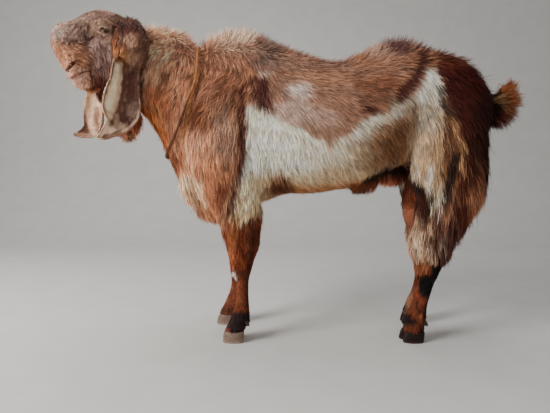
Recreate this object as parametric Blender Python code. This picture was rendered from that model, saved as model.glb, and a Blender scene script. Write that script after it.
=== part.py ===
"""Life-size standing billy goat of a long-eared, Roman-nosed breed, with its coat's outline.

Metres, +Z up. The goat faces -X, its head turned to its left (-Y). Its hooves stand on z = 0.
The flesh is lofted from named sections, fused into one body, and parted with thin cuts where a
person would name the parts. Ears, eyes, claws, dew claws, scrotum, beard and the neck cord are
solids of their own.
"""

import math

import bmesh
import bpy
import numpy as np
from mathutils import Matrix, Vector
from mathutils.bvhtree import BVHTree

# ---------------------------------------------------------------- driving dimensions (metres)
SHIFT = Vector((-0.0642, 0.02525, 0.0))  # puts the box's bottom centre on the origin
GAP = 0.0004            # gap between neighbouring solids
VOXEL = 0.009           # size of the fusing grid
BODY_FACES = 3000       # triangles left on the fused body before it is parted

# trunk: x, top, bottom, half width, egg (below 0 is narrower above), squareness
TRUNK = (
    (-0.262, 0.700, 0.450, 0.074, 0.00, 2.0),
    (-0.232, 0.800, 0.385, 0.112, -0.10, 2.0),
    (-0.190, 0.872, 0.350, 0.136, -0.22, 2.0),
    (-0.150, 0.890, 0.342, 0.146, -0.28, 2.0),
    (-0.110, 0.894, 0.350, 0.152, -0.28, 2.0),
    (-0.060, 0.883, 0.372, 0.160, -0.26, 2.1),
    (0.010, 0.854, 0.402, 0.170, -0.20, 2.1),
    (0.090, 0.824, 0.412, 0.180, -0.14, 2.2),
    (0.170, 0.805, 0.422, 0.184, -0.10, 2.2),
    (0.240, 0.821, 0.436, 0.176, -0.12, 2.2),
    (0.310, 0.852, 0.470, 0.160, -0.16, 2.1),
    (0.372, 0.870, 0.498, 0.148, -0.20, 2.1),
    (0.430, 0.846, 0.505, 0.142, -0.14, 2.1),
    (0.500, 0.832, 0.500, 0.134, -0.16, 2.1),
    (0.552, 0.808, 0.520, 0.118, -0.14, 2.0),
    (0.594, 0.768, 0.560, 0.092, -0.05, 2.0),
    (0.624, 0.706, 0.610, 0.050, 0.00, 2.0),
)

# neck: x, y, z of the middle, half width, half height above and below, lean of the section (deg)
NECK = (
    (-0.120, 0.000, 0.600, 0.130, 0.240, 0.200, 18),
    (-0.190, 0.000, 0.640, 0.124, 0.206, 0.240, 17),
    (-0.258, -0.008, 0.690, 0.112, 0.164, 0.205, 15),
    (-0.312, -0.024, 0.735, 0.102, 0.160, 0.168, 10),
    (-0.358, -0.046, 0.768, 0.090, 0.129, 0.144, 4),
    (-0.398, -0.074, 0.782, 0.078, 0.100, 0.128, 0),
    (-0.430, -0.104, 0.790, 0.064, 0.074, 0.100, -4),
)

# legs: z, x, y of the middle, half length, half width (coat included)
FORE_LEFT = (
    (0.770, -0.118, -0.066, 0.050, 0.030),
    (0.700, -0.130, -0.092, 0.080, 0.044),
    (0.600, -0.148, -0.112, 0.100, 0.050),
    (0.500, -0.138, -0.116, 0.100, 0.052),
    (0.420, -0.116, -0.108, 0.084, 0.050),
    (0.350, -0.098, -0.098, 0.066, 0.045),
    (0.317, -0.0945, -0.095, 0.0590, 0.042),
    (0.289, -0.0917, -0.094, 0.0547, 0.040),
    (0.260, -0.0922, -0.094, 0.0468, 0.036),
    (0.231, -0.0950, -0.094, 0.0370, 0.0325),
    (0.202, -0.0982, -0.094, 0.0300, 0.0300),
    (0.187, -0.0990, -0.094, 0.0262, 0.0275),
    (0.168, -0.0970, -0.095, 0.0215, 0.0235),
    (0.143, -0.0943, -0.096, 0.0186, 0.0205),
    (0.114, -0.0943, -0.097, 0.0190, 0.0210),
    (0.084, -0.0978, -0.098, 0.0242, 0.0255),
    (0.066, -0.1005, -0.099, 0.0268, 0.0275),
    (0.050, -0.1070, -0.100, 0.0262, 0.0270),
    (0.036, -0.1150, -0.100, 0.0275, 0.0285),
    (0.022, -0.1180, -0.100, 0.0240, 0.0240),
)
FORE_RIGHT = (
    (0.770, -0.118, 0.066, 0.050, 0.030),
    (0.700, -0.130, 0.092, 0.080, 0.044),
    (0.600, -0.150, 0.110, 0.100, 0.050),
    (0.500, -0.142, 0.112, 0.100, 0.052),
    (0.420, -0.124, 0.100, 0.084, 0.050),
    (0.350, -0.112, 0.086, 0.066, 0.045),
    (0.300, -0.108, 0.076, 0.0570, 0.041),
    (0.260, -0.110, 0.070, 0.0468, 0.036),
    (0.231, -0.114, 0.067, 0.0370, 0.0325),
    (0.202, -0.118, 0.065, 0.0300, 0.0300),
    (0.172, -0.120, 0.062, 0.0225, 0.0245),
    (0.143, -0.121, 0.060, 0.0190, 0.0208),
    (0.114, -0.1225, 0.058, 0.0195, 0.0212),
    (0.090, -0.1260, 0.056, 0.0240, 0.0250),
    (0.074, -0.1300, 0.056, 0.0268, 0.0270),
    (0.054, -0.1400, 0.055, 0.0262, 0.0270),
    (0.036, -0.1490, 0.055, 0.0275, 0.0285),
    (0.022, -0.1515, 0.055, 0.0240, 0.0240),
)
HIND_LEFT = (
    (0.740, 0.465, -0.060, 0.070, 0.034),
    (0.670, 0.476, -0.078, 0.106, 0.054),
    (0.600, 0.480, -0.090, 0.118, 0.064),
    (0.520, 0.486, -0.096, 0.119, 0.066),
    (0.450, 0.492, -0.096, 0.121, 0.061),
    (0.420, 0.494, -0.096, 0.115, 0.057),
    (0.385, 0.484, -0.096, 0.099, 0.051),
    (0.350, 0.473, -0.096, 0.084, 0.047),
    (0.315, 0.454, -0.097, 0.072, 0.044),
    (0.277, 0.442, -0.097, 0.066, 0.040),
    (0.242, 0.438, -0.098, 0.053, 0.034),
    (0.221, 0.4365, -0.098, 0.0420, 0.030),
    (0.200, 0.4335, -0.098, 0.0340, 0.0270),
    (0.165, 0.4275, -0.098, 0.0245, 0.0225),
    (0.125, 0.4175, -0.099, 0.0220, 0.0210),
    (0.098, 0.4095, -0.100, 0.0235, 0.0230),
    (0.074, 0.4030, -0.100, 0.0285, 0.0275),
    (0.052, 0.3985, -0.100, 0.0280, 0.0275),
    (0.036, 0.3970, -0.100, 0.0285, 0.0285),
    (0.022, 0.3970, -0.100, 0.0245, 0.0240),
)
HIND_RIGHT = (
    (0.740, 0.468, 0.060, 0.070, 0.034),
    (0.670, 0.480, 0.078, 0.106, 0.054),
    (0.600, 0.486, 0.090, 0.116, 0.064),
    (0.520, 0.494, 0.094, 0.117, 0.066),
    (0.450, 0.505, 0.090, 0.118, 0.060),
    (0.400, 0.510, 0.082, 0.108, 0.054),
    (0.350, 0.502, 0.074, 0.090, 0.047),
    (0.315, 0.494, 0.069, 0.077, 0.044),
    (0.277, 0.490, 0.065, 0.068, 0.040),
    (0.242, 0.488, 0.062, 0.055, 0.034),
    (0.221, 0.486, 0.061, 0.0420, 0.030),
    (0.200, 0.484, 0.060, 0.0340, 0.0270),
    (0.165, 0.477, 0.058, 0.0245, 0.0225),
    (0.125, 0.468, 0.056, 0.0220, 0.0210),
    (0.098, 0.461, 0.055, 0.0235, 0.0230),
    (0.074, 0.455, 0.055, 0.0285, 0.0275),
    (0.052, 0.447, 0.055, 0.0280, 0.0275),
    (0.036, 0.442, 0.055, 0.0285, 0.0285),
    (0.022, 0.441, 0.055, 0.0245, 0.0240),
)

# head frame: its origin between the ears, turned and dipped
HEAD_AT = Vector((-0.432, -0.098, 0.866))
HEAD_YAW = 48.0
HEAD_DIP = 32.0
HEAD_ROLL = 0.0

# upper head: forward, top, bottom, half width, egg, squareness
SKULL = (
    (-0.045, 0.000, -0.070, 0.036, 0.0, 2.0),
    (-0.022, 0.026, -0.085, 0.050, 0.0, 2.0),
    (0.002, 0.049, -0.090, 0.056, -0.02, 2.1),
    (0.025, 0.0640, -0.088, 0.058, -0.04, 2.2),
    (0.050, 0.0690, -0.082, 0.058, -0.08, 2.2),
    (0.075, 0.0670, -0.075, 0.053, -0.12, 2.2),
    (0.100, 0.0635, -0.068, 0.046, -0.16, 2.2),
    (0.125, 0.0655, -0.062, 0.041, -0.18, 2.2),
    (0.148, 0.0660, -0.0595, 0.0370, -0.08, 2.2),
    (0.166, 0.0575, -0.0585, 0.0330, 0.02, 2.2),
    (0.1800, 0.0430, -0.0575, 0.0270, 0.06, 2.15),
    (0.1825, 0.0250, -0.0570, 0.0205, 0.0, 2.1),
    (0.1835, -0.004, -0.0565, 0.0180, 0.0, 2.0),
    (0.1845, -0.026, -0.0560, 0.0150, 0.0, 2.0),
)
# lower jaw: forward, top, bottom, half width
JAW = (
    (-0.020, -0.040, -0.100, 0.034),
    (0.010, -0.036, -0.122, 0.044),
    (0.045, -0.038, -0.130, 0.047),
    (0.080, -0.042, -0.122, 0.042),
    (0.115, -0.046, -0.110, 0.035),
    (0.150, -0.050, -0.101, 0.0295),
    (0.172, -0.055, -0.0950, 0.0255),
    (0.1825, -0.061, -0.0845, 0.0175),
)
EYE_AT = Vector((0.0720, 0.0470, 0.0130))   # forward, left, up in the head frame
EYE_R = 0.0150
LIPS = (  # nose tip, upper lip: place, then half sizes
    (0.1640, 0.000, -0.0395, 0.0195, 0.0235, 0.0205),
    (0.1755, 0.000, -0.0530, 0.0165, 0.0195, 0.0110),
)

# ear, near: drop along the hanging line (x, y, z), half width, back depth, front bulge (below 0 is hollow), turn of its open side
EAR_NEAR = (
    (-0.398, -0.120, 0.872, 0.016, 0.016, 0.014, -10),
    (-0.388, -0.136, 0.863, 0.030, 0.024, 0.020, -14),
    (-0.380, -0.150, 0.843, 0.038, 0.028, 0.022, -16),
    (-0.377, -0.160, 0.808, 0.0430, 0.028, 0.020, -16),
    (-0.380, -0.166, 0.776, 0.038, 0.026, 0.012, -14),
    (-0.3865, -0.168, 0.757, 0.034, 0.025, 0.002, -12),
    (-0.3905, -0.170, 0.721, 0.036, 0.024, -0.009, -10),
    (-0.398, -0.171, 0.683, 0.0455, 0.024, -0.016, -8),
    (-0.400, -0.172, 0.657, 0.048, 0.023, -0.017, -6),
    (-0.402, -0.173, 0.631, 0.045, 0.021, -0.015, -6),
    (-0.412, -0.174, 0.607, 0.033, 0.016, -0.011, -8),
    (-0.428, -0.175, 0.592, 0.021, 0.011, -0.006, -12),
    (-0.445, -0.176, 0.579, 0.013, 0.007, -0.002, -14),
    (-0.461, -0.177, 0.572, 0.004, 0.004, 0.001, -16),
)
EAR_FAR = (
    (-0.478, -0.066, 0.874, 0.018, 0.014, 0.012, 40),
    (-0.490, -0.052, 0.862, 0.028, 0.022, 0.018, 40),
    (-0.498, -0.044, 0.836, 0.033, 0.024, 0.018, 38),
    (-0.505, -0.038, 0.796, 0.034, 0.024, 0.010, 35),
    (-0.516, -0.034, 0.751, 0.031, 0.023, -0.004, 32),
    (-0.528, -0.032, 0.708, 0.033, 0.022, -0.012, 28),
    (-0.532, -0.031, 0.679, 0.035, 0.021, -0.014, 26),
    (-0.5335, -0.031, 0.650, 0.036, 0.019, -0.013, 24),
    (-0.5345, -0.031, 0.630, 0.035, 0.016, -0.011, 22),
    (-0.542, -0.031, 0.611, 0.030, 0.012, -0.008, 22),
    (-0.562, -0.030, 0.598, 0.015, 0.008, -0.003, 22),
    (-0.592, -0.028, 0.594, 0.004, 0.004, 0.001, 22),
)

# tail: x, z, half thickness, half width
TAIL = (
    (0.575, 0.704, 0.032, 0.034),
    (0.608, 0.692, 0.038, 0.034),
    (0.638, 0.677, 0.045, 0.033),
    (0.662, 0.674, 0.051, 0.031),
    (0.684, 0.692, 0.042, 0.028),
    (0.696, 0.714, 0.027, 0.024),
    (0.701, 0.737, 0.015, 0.017),
    (0.703, 0.751, 0.006, 0.007),
)

# cord round the base of the neck: where it runs in the side view, x and z
CORD = (
    (-0.228, 0.880),
    (-0.222, 0.842),
    (-0.216, 0.790),
    (-0.217, 0.744),
    (-0.225, 0.710),
    (-0.239, 0.678),
    (-0.253, 0.637),
    (-0.267, 0.603),
    (-0.285, 0.571),
    (-0.308, 0.543),
    (-0.330, 0.520),
    (-0.345, 0.495),
)
CORD_MIDDLE = (0.000, 0.690)  # y and z of the point it runs round
CORD_R = 0.0042
CORD_SINK = 0.0015            # how deep its middle lies in the coat
CORD_STEPS = 38

# levels of the cuts through the legs, and of the flat ends above the claws
CUT_FORE_Z, CUT_KNEE_Z = 0.306, 0.194
CUT_THIGH_Z, CUT_HOCK_Z = 0.448, 0.208
PASTERN_Z = 0.0300


# ---------------------------------------------------------------- helpers
def clear_scene():
    for obj in list(bpy.data.objects):
        bpy.data.objects.remove(obj, do_unlink=True)


def material(name, colour, roughness, metallic=0.0):
    made = bpy.data.materials.get(name) or bpy.data.materials.new(name)
    made.use_nodes = True
    shader = made.node_tree.nodes["Principled BSDF"]
    shader.inputs["Base Color"].default_value = (*colour, 1.0)
    shader.inputs["Roughness"].default_value = roughness
    shader.inputs["Metallic"].default_value = metallic
    return made


def smooth_rows(rows, step):
    """Rows of numbers read from a smooth curve through the given rows, about `step` apart in their first three numbers."""
    rows = np.array(rows, float)
    ends = np.vstack([2 * rows[0] - rows[1], rows, 2 * rows[-1] - rows[-2]])
    out = []
    for i in range(1, len(ends) - 2):
        p0, p1, p2, p3 = ends[i - 1 : i + 3]
        count = max(1, int(math.ceil(np.linalg.norm((p2 - p1)[:3]) / step)))
        for k in range(count):
            t = k / count
            out.append(
                0.5
                * (
                    2 * p1
                    + (p2 - p0) * t
                    + (2 * p0 - 5 * p1 + 4 * p2 - p3) * t * t
                    + (3 * p1 - p0 - 3 * p2 + p3) * t**3
                )
            )
    out.append(rows[-1])
    return np.array(out)


def ring(centre, side, up, half_width, above, below, egg=0.0, power=2.0, count=28):
    """One closed section: a superellipse, fuller above or below by `egg`."""
    points = []
    for k in range(count):
        a = 2 * math.pi * k / count
        c, s = math.cos(a), math.sin(a)
        x = math.copysign(abs(c) ** (2 / power), c) * half_width * (1 + egg * s)
        z = math.copysign(abs(s) ** (2 / power), s) * (above if s > 0 else below)
        points.append(centre + side * x + up * z)
    return points


def loft(rings, name="loft"):
    """A closed mesh through the rings, with fan caps."""
    bm = bmesh.new()
    rows = [[bm.verts.new(p) for p in r] for r in rings]
    for a, b in zip(rows, rows[1:]):
        n = len(a)
        for i in range(n):
            bm.faces.new((a[i], a[(i + 1) % n], b[(i + 1) % n], b[i]))
    for row, flip in ((rows[0], True), (rows[-1], False)):
        middle = bm.verts.new(sum((v.co for v in row), Vector()) / len(row))
        n = len(row)
        for i in range(n):
            j = (i + 1) % n
            bm.faces.new((row[j], row[i], middle) if flip else (row[i], row[j], middle))
    bmesh.ops.recalc_face_normals(bm, faces=bm.faces)
    mesh = bpy.data.meshes.new(name)
    bm.to_mesh(mesh)
    bm.free()
    return mesh


def ball(centre, rx, ry, rz, turn=None, name="ball", u=20, v=12):
    bm = bmesh.new()
    bmesh.ops.create_uvsphere(bm, u_segments=u, v_segments=v, radius=1.0)
    m = Matrix.Diagonal((rx, ry, rz, 1.0))
    if turn is not None:
        m = turn.to_4x4() @ m
    bm.transform(Matrix.Translation(centre) @ m)
    mesh = bpy.data.meshes.new(name)
    bm.to_mesh(mesh)
    bm.free()
    return mesh


def put(name, mesh):
    obj = bpy.data.objects.new(name, mesh)
    bpy.context.scene.collection.objects.link(obj)
    return obj


def joined(meshes, name):
    """Several meshes as one object's mesh."""
    bm = bmesh.new()
    for mesh in meshes:
        bm.from_mesh(mesh)
    out = bpy.data.meshes.new(name)
    bm.to_mesh(out)
    bm.free()
    return put(name, out)


def evaluated(obj):
    """The object's mesh with its modifiers in it, as a new mesh."""
    graph = bpy.context.evaluated_depsgraph_get()
    graph.update()
    return bpy.data.meshes.new_from_object(obj.evaluated_get(graph), depsgraph=graph)


def bake(obj):
    mesh = evaluated(obj)
    obj.modifiers.clear()
    obj.data = mesh
    return obj


def boolean(obj, cutter, operation="DIFFERENCE"):
    m = obj.modifiers.new("cut", "BOOLEAN")
    m.operation = operation
    m.object = cutter
    bake(obj)
    return obj


def drop(obj):
    bpy.data.objects.remove(obj, do_unlink=True)


def head_frame():
    """Forward, left, up and the rotation of the head."""
    yaw, dip, roll = (math.radians(a) for a in (HEAD_YAW, HEAD_DIP, HEAD_ROLL))
    forward = Vector((-math.cos(yaw) * math.cos(dip), -math.sin(yaw) * math.cos(dip), -math.sin(dip)))
    up = Vector((-math.cos(yaw) * math.sin(dip), -math.sin(yaw) * math.sin(dip), math.cos(dip)))
    left = up.cross(forward)
    turn = Matrix.Rotation(roll, 3, forward)
    return forward, turn @ left, turn @ up


def in_head(p):
    forward, left, up = head_frame()
    return HEAD_AT + forward * p[0] + left * p[1] + up * p[2]


# ---------------------------------------------------------------- the flesh, with its coat
def trunk_mesh():
    side, up = Vector((0, 1, 0)), Vector((0, 0, 1))
    rows = smooth_rows([(x, 0, 0, t, b, w, e, q) for x, t, b, w, e, q in TRUNK], 0.02)
    rings = []
    for x, _, _, top, low, w, egg, power in rows:
        middle = low + (top - low) * 0.48
        rings.append(ring(Vector((x, 0, middle)), side, up, w, top - middle, middle - low, egg, power, 36))
    return loft(rings, "trunk_loft")


def neck_mesh():
    rows = smooth_rows(NECK, 0.02)
    rings = []
    for i, (x, y, z, w, above, below, lean) in enumerate(rows):
        a, b = rows[max(0, i - 1)][:3], rows[min(len(rows) - 1, i + 1)][:3]
        along = Vector(b) - Vector(a)
        side = Vector((-along.y, along.x, 0)).normalized() * -1
        t = math.radians(lean)
        flat = Vector((along.x, along.y, 0)).normalized()
        up = Vector((0, 0, 1)) * math.cos(t) - flat * math.sin(t)
        rings.append(ring(Vector((x, y, z)), side, up, w, above, below, -0.12, 2.0, 32))
    return loft(rings, "neck_loft")


def leg_mesh(rows):
    """A leg of level sections."""
    rings = []
    for z, x, y, rx, ry in smooth_rows(rows, 0.014):
        rings.append(ring(Vector((x, y, z)), Vector((0, 1, 0)), Vector((1, 0, 0)), ry, rx, rx, 0.0, 2.1, 24))
    return loft(rings, "leg_loft")


def leg_at(rows, level):
    """Middle of the leg at a height."""
    best = min(smooth_rows(rows, 0.004), key=lambda r: abs(r[0] - level))
    return Vector((best[1], best[2], level))


def tail_mesh():
    rows = smooth_rows([(x, 0, z, a, b) for x, z, a, b in TAIL], 0.012)
    rings = []
    for i, (x, _, z, thick, wide) in enumerate(rows):
        a, b = rows[max(0, i - 1)], rows[min(len(rows) - 1, i + 1)]
        along = Vector((b[0] - a[0], 0, b[2] - a[2])).normalized()
        up = Vector((-along.z, 0, along.x))
        rings.append(ring(Vector((x, 0, z)), Vector((0, 1, 0)), up, wide, thick, thick, 0, 2.0, 20))
    return loft(rings, "tail_loft")


def skull_meshes():
    forward, left, up = head_frame()
    rings = []
    for f, _, _, top, low, w, egg, power in smooth_rows([(a, 0, 0, b, c, d, e, q) for a, b, c, d, e, q in SKULL], 0.01):
        middle = low + (top - low) * 0.46
        rings.append(ring(in_head((f, 0, middle)), left, up, w, top - middle, middle - low, egg, power, 28))
    made = [loft(rings, "skull_loft")]
    rings = []
    for f, _, _, top, low, w in smooth_rows([(a, 0, 0, b, c, d) for a, b, c, d in JAW], 0.01):
        middle = (top + low) / 2
        rings.append(ring(in_head((f, 0, middle)), left, up, w, top - middle, middle - low, 0, 2.1, 24))
    made.append(loft(rings, "jaw_loft"))
    turn = Matrix((forward, left, up)).transposed()
    for s in (1, -1):
        # brow over the orbit, cheek, and the swell behind the nostril
        made.append(ball(in_head((0.064, s * 0.040, 0.024)), 0.030, 0.020, 0.021, turn))
        made.append(ball(in_head((0.055, s * 0.028, -0.056)), 0.056, 0.026, 0.044, turn))
        made.append(ball(in_head((0.157, s * 0.0125, -0.020)), 0.0225, 0.0180, 0.0245, turn))
    for lip in LIPS:
        made.append(ball(in_head(lip[:3]), *lip[3:], turn))
    return made


def body_meshes():
    made = [trunk_mesh(), neck_mesh(), tail_mesh(), *skull_meshes()]
    made += [leg_mesh(rows) for rows in (FORE_LEFT, FORE_RIGHT, HIND_LEFT, HIND_RIGHT)]
    # the breast between the legs, the sheath and the groin hair behind it, the long hair of throat and jaw
    made.append(ball(Vector((-0.232, 0, 0.480)), 0.073, 0.092, 0.115))
    made.append(ball(Vector((-0.180, 0, 0.390)), 0.084, 0.084, 0.070))
    made.append(ball(Vector((0.262, 0, 0.448)), 0.066, 0.036, 0.030))
    made.append(ball(Vector((0.340, 0, 0.472)), 0.064, 0.044, 0.036))
    made.append(ball(Vector((-0.421, -0.089, 0.627)), 0.045, 0.053, 0.062))
    made.append(ball(Vector((-0.446, -0.114, 0.700)), 0.046, 0.044, 0.050))
    return made


def fused_body():
    body = joined(body_meshes(), "body")
    m = body.modifiers.new("fuse", "REMESH")
    m.mode, m.voxel_size, m.adaptivity = "VOXEL", VOXEL, 0.0
    m = body.modifiers.new("soften", "SMOOTH")
    m.factor, m.iterations = 0.5, 6
    bake(body)
    m = body.modifiers.new("thin", "DECIMATE")
    m.ratio = BODY_FACES / (2 * len(body.data.polygons))
    m.use_collapse_triangulate = True
    return bake(body)


# ---------------------------------------------------------------- solids of their own
def ear_mesh(rows, count=8):
    rings = []
    rows = smooth_rows(rows, 0.021)
    for i, (x, y, z, w, back, front, turn) in enumerate(rows):
        a, b = rows[max(0, i - 1)][:3], rows[min(len(rows) - 1, i + 1)][:3]
        along = (Vector(b) - Vector(a)).normalized()
        t = math.radians(turn)
        face = Vector((-math.sin(t), -math.cos(t), 0))
        face = (face - along * face.dot(along)).normalized()
        side = along.cross(face).normalized()
        points = []
        for k in range(count):
            u = math.cos(math.pi * k / (count - 1))
            points.append(Vector((x, y, z)) + side * (w * u) + face * (front * (1 - u * u) ** 0.8 + 0.0016))
        for k in range(1, count - 1):
            u = -math.cos(math.pi * k / (count - 1))
            points.append(Vector((x, y, z)) + side * (w * 1.0 * u) - face * (back * (1 - u * u) ** 0.6 + 0.0016))
        rings.append(points)
    return loft(rings, "ear_loft")


def claw_mesh(centre_x, centre_y, inner):
    """One of the two claws of a foot. `inner` is +1 where the cleft lies on its +Y side."""
    levels = (
        (0.0000, 0.0005, 0.93),
        (0.0045, 0.0000, 1.00),
        (0.0180, 0.0020, 0.97),
        (0.0296, 0.0045, 0.90),
    )
    rings = []
    half_l, half_w = 0.0300, 0.0130
    for z, back, size in levels:
        points = []
        for k in range(14):
            a = 2 * math.pi * k / 14
            c, s = math.cos(a), math.sin(a)
            px = math.copysign(abs(c) ** 0.8, c)
            py = math.copysign(abs(s) ** (0.55 if s * inner > 0 else 0.85), s)
            taper = 1 - 0.28 * max(0.0, -px) ** 1.6  # narrower at the toe, which points to -X
            points.append(Vector((centre_x + back + px * half_l * size, centre_y + py * half_w * size * taper, z)))
        rings.append(points)
    return loft(rings, "claw_loft")


def dewclaw_mesh(at, side):
    rings = []
    for k, (t, r) in enumerate(((0.0, 0.0062), (0.35, 0.0066), (0.75, 0.0052), (1.0, 0.0022))):
        centre = at + Vector((0.012 * t, side * 0.002 * t, -0.013 * t))
        rings.append(ring(centre, Vector((0, 1, 0)), Vector((0.7, 0, 0.7)), r, r, r, 0, 2.0, 8))
    return loft(rings, "dewclaw_loft")


def cord_points(body):
    """The cord's middle line, laid on the surface of the body."""
    tree = BVHTree.FromObject(body, bpy.context.evaluated_depsgraph_get())
    levels = np.array([r[1] for r in CORD][::-1])
    along = np.array([r[0] for r in CORD][::-1])
    reach = []
    angles = [2 * math.pi * k / CORD_STEPS for k in range(CORD_STEPS)]

    def at(angle, r):
        z = CORD_MIDDLE[1] + r * math.cos(angle)
        return Vector((float(np.interp(z, levels, along)), CORD_MIDDLE[0] + r * math.sin(angle), z))

    for angle in angles:
        r = 0.06
        while r < 0.30:
            p = at(angle, r)
            near, normal, _, _ = tree.find_nearest(p)
            if (p - near).dot(normal) > 0:
                break
            r += 0.001
        reach.append(r - CORD_SINK)
    reach = np.array(reach)
    for _ in range(2):
        reach = (np.roll(reach, 1) + 2 * reach + np.roll(reach, -1)) / 4
    return [at(a, float(r)) for a, r in zip(angles, reach)]


def tube_ring(points, radius, sides=8):
    """A closed ring of round section through the points."""
    n = len(points)
    bm = bmesh.new()
    rows = []
    middle = sum(points, Vector()) / n
    for i, p in enumerate(points):
        along = (points[(i + 1) % n] - points[i - 1]).normalized()
        out = p - middle
        out = (out - along * out.dot(along)).normalized()
        across = along.cross(out)
        rows.append([
            bm.verts.new(p + out * radius * math.cos(a) + across * radius * math.sin(a))
            for a in (2 * math.pi * k / sides for k in range(sides))
        ])
    for i in range(n):
        a, b = rows[i], rows[(i + 1) % n]
        for k in range(sides):
            bm.faces.new((a[k], a[(k + 1) % sides], b[(k + 1) % sides], b[k]))
    bmesh.ops.recalc_face_normals(bm, faces=bm.faces)
    mesh = bpy.data.meshes.new("cord_loft")
    bm.to_mesh(mesh)
    bm.free()
    return mesh


def slab(centre, normal, half_a, half_b):
    """A thin box of thickness GAP, square to `normal`."""
    bm = bmesh.new()
    bmesh.ops.create_cube(bm, size=2.0)
    turn = Vector(normal).to_track_quat("Z", "Y").to_matrix().to_4x4()
    bm.transform(Matrix.Translation(centre) @ turn @ Matrix.Diagonal((half_a, half_b, GAP / 2, 1.0)))
    mesh = bpy.data.meshes.new("slab")
    bm.to_mesh(mesh)
    bm.free()
    return mesh


def loose_parts(obj):
    """The object's separate shells, as (mesh, centre, volume), largest first."""
    bm = bmesh.new()
    bm.from_mesh(obj.data)
    bm.verts.ensure_lookup_table()
    seen, shells = set(), []
    for start in bm.verts:
        if start.index in seen:
            continue
        stack, shell = [start], []
        seen.add(start.index)
        while stack:
            v = stack.pop()
            shell.append(v.index)
            for e in v.link_edges:
                o = e.other_vert(v)
                if o.index not in seen:
                    seen.add(o.index)
                    stack.append(o)
        shells.append(set(shell))
    bm.free()
    out = []
    for shell in shells:
        part = bmesh.new()
        part.from_mesh(obj.data)
        part.verts.ensure_lookup_table()
        bmesh.ops.delete(part, geom=[v for v in part.verts if v.index not in shell], context="VERTS")
        volume = part.calc_volume()
        centre = sum((v.co for v in part.verts), Vector()) / len(part.verts)
        mesh = bpy.data.meshes.new("part")
        part.to_mesh(mesh)
        part.free()
        out.append((mesh, centre, volume))
    return sorted(out, key=lambda p: -p[2])


def swollen(obj, by):
    """A copy of the object's mesh moved outwards by `by`, for cutting its neighbours clear."""
    mesh = obj.data.copy()
    mesh.update()
    normals = [v.normal.copy() for v in mesh.vertices]
    for v, n in zip(mesh.vertices, normals):
        v.co += n * by
    return put(obj.name + "_swollen", mesh)


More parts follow.
